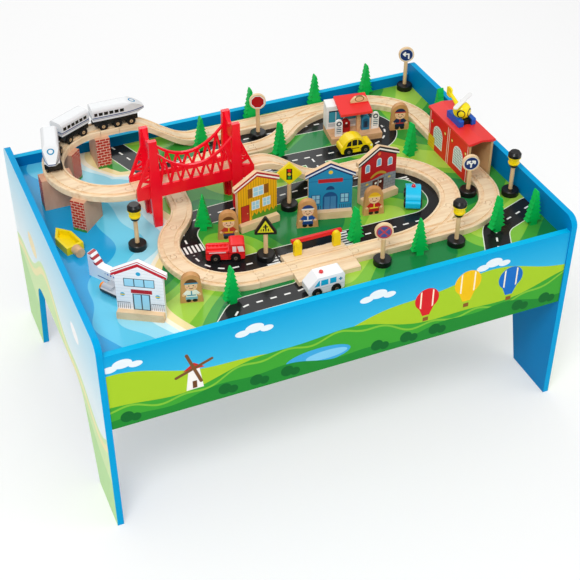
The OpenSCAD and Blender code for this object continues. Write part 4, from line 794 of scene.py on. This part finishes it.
# Train shed
m = Mat("shed_print", 0.36, 0.35)
t, h = m.y - SHED_MID[1], m.z - BOARD
at = ab(t)
half = SHED_L / 2
bay = half * 0.52
frame_ink, lamp = "f6e9dc", disc(ab(at - bay), h, half * 0.34, 60, 4.2)
gate = arch(at, h, bay, 14, 18.5, 46)
lattice = mx(gate + 1.6, mn(stripes(t, 6.0, 0.13), stripes(h, 5.6, 0.15)))
crate = box(t, h, half - 13, 14, 13, 14)
ink = m.layers(rgb("e4121c"), (ab(at - half + 4.0) - 0.9, frame_ink), (ab(at - 3.0) - 0.9, frame_ink),
               (gate, "f4f4f2"), (gate + 1.6, "e2f0ee"), (lattice, "3a5256"), (lamp, "2a1a10"),
               (lamp + 0.8, "f3b51b"), (lamp + 2.4, "fff0b8"),
               (crate, "f2c31a"), (mx(crate + 1.0, ab(mod(h, 7.0) - 3.5) - 0.5), "c9950f"))
outer = m.mask(SHED_SIDE - ab(m.x - SHED_MID[0]), 0.2)
ends = m.mask(at - half + 0.2, 0.2)
timber = m.wood("cda777", "ae8356", (0.1, 0.02, 0.02))
give(m.done(m.mix(outer * ends, timber, ink), 0.08), "shed_walls")
give(paint("shed_roof", "ee302d"), "shed_roof")

# Helicopter
m = Mat("skid_print", 0.3, 0.35)
u, v, h = m.local(HELI)
give(m.done(m.layers(rgb("0a56bc"), (ab(u) - 8.6, "111112")), 0.05), "helicopter_skids")
m = Mat("cabin_print", 0.25, 0.4)
u, v, h = m.local(HELI)
pane = mx(disc(ab(u), h, 9.0, 112.5, 6.8, 0.8), v + 7.2)
give(m.done(m.layers(rgb("f8e40c"), (ab(pane + 0.9) - 0.9, "1c1a12")), 0.05), "helicopter_cabin")
give(paint("rotor_white", "f4f4f2", 0.25, 0.4), "helicopter_rotor")


# Road vehicles, drawn in u along and h up
def saloon(name, place, code, extra):
    """A car with a round cabin: dark glass behind pillars of the body's colour."""
    m = Mat(name, 0.25, 0.4)
    u, v, h = m.local(place)
    glass = mx(disc(u, h, -5, 11, 23.2), 20.5 - h, ab(u + 5.0) + (h - 20.5) * 0.35 - 17.5)
    pillar = mx(glass, ab(ab(u + 5.0) - 6.2) - 0.9)
    lamps = disc(u, h, 31, 16, 2.4)
    ink = m.layers(rgb(code), (glass, "15191c"), (pillar, code), (lamps, "fff8d8"), *extra(u, v, h))
    return m.done(ink, 0.05)


def taxi_marks(u, v, h):
    """A short dark bar on the doors."""
    return [(box(u, h, -3, 14.5, 8, 1.2), "8a6a10")]


def patrol_marks(u, v, h):
    """A pale band along the side and a red lamp on the roof."""
    return [(mx(ab(h - 14.0) - 2.2, ab(u) - 30.0), "eef3f6"),
            (mx(disc(u, v, -5, 0, 4.5), 37.9 - h), "d8232a")]


give(saloon("taxi_print", TAXI, "f9d90c", taxi_marks), "taxi_body")
give(saloon("patrol_print", PATROL, "12c0ea", patrol_marks), "patrol_car_body")

m = Mat("truck_print", 0.25, 0.4)
u, v, h = m.local(TRUCK)
flank = CAR_SIDE - ab(v)
slant = box(u + (h - 27.0) * 0.25, h, 27.5, 27, 5.0, 6)
side = mn(box(u, h, 16, 27, 3.4, 6), slant)
ink = m.layers(rgb("ee2426"), (mx(side, flank), "f3d9dc"),
               (mx(box(u, h, 34, 28, 4, 5.5), ab(v) - 11.0), "f3d9dc"),
               (mx(ab(h - 18.0) - 0.6, flank), "8f0c12"),
               (mx(ab(u - 6.0) - 0.6, flank), "8f0c12"),
               (mx(box(u, h, -14, 21, 15, 1.1), flank), "f3d9dc"),
               (disc(ab(v), h, 9, 13, 2.2) + 0.2 * ab(u - 35.0), "fff6cf"))
give(m.done(ink, 0.05), "fire_truck_body")

m = Mat("ambulance_print", 0.25, 0.4)
u, v, h = m.local(AMBULANCE)
flank = CAR_SIDE - ab(v)
slant = mx(box(u, h, -18, 27.5, 5.0, 5.8), -(u + 23.5) + (h - 21.7) * 0.75)
panes = mn(slant, box(u, h, -4, 27.5, 6.8, 5.8), box(u, h, 12, 27.5, 6.0, 5.8))
cross = mn(box(u, h, 26, 27, 1.2, 3.4), box(u, h, 26, 27, 3.4, 1.2))
ink = m.layers(rgb("f4f5f6"), (mx(panes, flank), "1cb2dc"),
               (mx(cross, flank), "1f86a4"), (mx(ab(h - 17.0) - 0.6, flank), "d3d9dc"),
               (mx(disc(u, v, -5, 0, 4.5), 39.6 - h), "d8232a"),
               (disc(ab(v), h, 9, 14, 2.4) + 0.2 * ab(u + 34.0), "fff6cf"))
give(m.done(ink, 0.05), "ambulance_body")


def wheels(name, turn, hub_r, hub):
    """Black wheels with a hub of another colour, round the axle through the node's middle."""
    low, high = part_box(name)
    mid = (low + high) / 2 * MM
    m = Mat(name + "_paint", 0.45, 0.3)
    u, v, h = m.local((mid.x, mid.y, turn))
    r = disc(u, m.z, 0, mid.z, 0)
    give(m.done(m.layers(rgb("121213"), (r - hub_r, hub), (r - 1.4, "3a3632")), 0.08), name)


for car, place in (("taxi", TAXI), ("fire_truck", TRUCK),
                   ("ambulance", AMBULANCE), ("patrol_car", PATROL)):
    for end in ("front", "rear"):
        wheels(f"{car}_{end}_wheels", place[2], 3.4, "77695c")


def on_loop(angle):
    """Place and heading on the raised loop's middle line."""
    t = math.radians(angle)
    return LOOP[0] + R * math.cos(t), LOOP[1] + R * math.sin(t), angle + 90


def train_car(name, place, length, nosed):
    """White shell with black windows and a blue line, over a black underframe."""
    m = Mat(name + "_print", 0.22, 0.4)
    u, v, h = m.local(place)
    h = h - (RAIL - BOARD)
    half = length / 2
    stop = half - (0.4 * length if nosed else 4.0)
    row = mx(ab(h - 35.6) - 3.4, -half + 4.0 - u, u - stop, stripes(u - 1.0, 10.6, 0.76))
    ink = m.layers(rgb("e2e4e5"), (row, "121314"), (ab(h - 28.6) - 1.0, "1c3f7c"),
                   (ab(h - 25.8) - 0.7, "8f969c"), (h - CAR_FLOOR - 0.2, "111112"))
    if nosed:
        ring = disc(u, v, half - 22.0, 0, 5.6)
        ink = m.layers(ink, (mx(ab(ring) - 1.3, 30.0 - h), "1c86b0"))
    give(m.done(ink, 0.03), name)


train_car("lead_car", on_loop(LEAD_A), END_CAR, True)
train_car("middle_car", on_loop(MIDDLE_A), MID_CAR, False)
train_car("tail_car", (TAIL_X, LOOP[1] + R, 0.0), END_CAR, True)
for i, share in enumerate(END_AXLES):
    turn = LEAD_A + 90 + math.degrees(END_CAR * share / R)
    wheels(f"lead_wheels_{i + 1}", turn, 3.2, "d6b384")
    wheels(f"tail_wheels_{i + 1}", 0.0, 3.2, "d6b384")
for i, share in enumerate(MID_AXLES):
    wheels(f"middle_wheels_{i + 1}", MIDDLE_A + 90 + math.degrees(MID_CAR * share / R), 3.2, "d6b384")

# Boat and plane
m = Mat("boat_print", 0.32, 0.35)
u, v, h = m.local(BOAT)
peg = m.wood("e4bd92", "cb9b6b", (0.05, 0.05, 0.05))
give(m.done(m.mix(m.mask(u + 35.2, 0.2), rgb("f5dc08"), peg), 0.08), "toy_boat")

m = Mat("plane_print", 0.25, 0.4)
u, v, h = m.local(PLANE)
row = mx(ab(h - 20.0) - 1.5, stripes(u, 7.0, 0.5), ab(u - 8.0) - 32.0)
slope = ab((u + 62.0) * 1.3 + h - 54.0) * 0.61
checks = mx(slope - 3.0, stripes(h, 9.0, 0.5), 26.0 - h)
body = m.layers(rgb("f3f5f7"), (row, "1f6fc0"), (mx(ab(h - 8.0) - 1.0, ab(u - 4.0) - 46.0), "24498f"),
                (checks, "a8141c"), (mx(disc(u, h, 52.0, 17.0, 5.0), 15.0 - h), "22303a"))
board = mx(ab(h - 9.5) - 3.0, -11.1 - u)
wings = m.layers(rgb("f28a1e"), (mn(board, -12.0 - u), "b3b9c0"), (mx(board, 36.0 - ab(v)), "2a2d31"))
give(m.done(m.mix(m.mask(8.1 - ab(v), 0.2), body, wings), 0.05), "toy_plane")

# Stage: pale floor that keeps a soft shadow, soft light and the photo's view; lengths in metres
FLOOR_TONE, WHITE_SHARE, SKY = 0.985, 0.4, 0.62
VIEW_FROM, YAW, PITCH, LENS = (-0.7294, -1.7764, 1.6936), 22.979, 38.622, 75.73
TABLE_TOP = (0, 0, 0.4)
bpy.ops.mesh.primitive_plane_add(size=30, location=(0, 0, -0.0002))
floor = bpy.context.object
floor.name = "floor"
m = Mat("floor", 0.75)
m.put(m.bsdf.inputs["Base Color"], (FLOOR_TONE, FLOOR_TONE, FLOOR_TONE, 1))
direct = m.node("ShaderNodeLightPath", out="Is Camera Ray")
kinds = direct.out.node.outputs
seen = mx(direct, Sock(m, kinds["Is Glossy Ray"]), Sock(m, kinds["Is Transmission Ray"]))
white = m.node("ShaderNodeEmission", Color=(1, 1, 1, 1), Strength=1.0)
shade = Sock(m, m.bsdf.outputs[0])
blend = m.node("ShaderNodeMixShader", places=((0, seen * WHITE_SHARE), (1, shade), (2, white)))
m.put(m.tree.nodes["Material Output"].inputs["Surface"], blend)
floor.data.materials.append(m.m)

world = bpy.data.worlds.new("studio")
bpy.context.scene.world = world
world.use_nodes = True
world.node_tree.nodes["Background"].inputs["Color"].default_value = (1, 1, 1, 1)
world.node_tree.nodes["Background"].inputs["Strength"].default_value = SKY


def area(name, at, aim, size, watts):
    """A round soft light turned towards a point."""
    light = bpy.data.lights.new(name, "AREA")
    light.shape, light.size, light.energy = "DISK", size, watts
    o = bpy.data.objects.new(name, light)
    o.location = at
    o.rotation_mode = "QUATERNION"
    o.rotation_quaternion = (Vector(aim) - Vector(at)).to_track_quat("-Z", "Y")
    bpy.context.scene.collection.objects.link(o)


area("key", (-1.2, -1.6, 2.8), TABLE_TOP, 1.2, 46)
area("fill", (2.2, -1.4, 2.2), TABLE_TOP, 2.0, 14)
area("rim", (0.4, 2.4, 2.2), TABLE_TOP, 1.8, 14)

cam = bpy.data.objects.new("camera", bpy.data.cameras.new("camera"))
bpy.context.scene.collection.objects.link(cam)
bpy.context.scene.camera = cam
yaw, pitch = math.radians(YAW), math.radians(PITCH)
cam.location = VIEW_FROM
cam.rotation_mode = "QUATERNION"
cam.rotation_quaternion = Vector((math.sin(yaw) * math.cos(pitch), math.cos(yaw) * math.cos(pitch),
                                  -math.sin(pitch))).to_track_quat("-Z", "Y")
cam.data.sensor_width, cam.data.lens = 36.0, LENS
cam.data.clip_start, cam.data.clip_end = 0.01, 100.0
bpy.context.scene.view_settings.view_transform = "Standard"
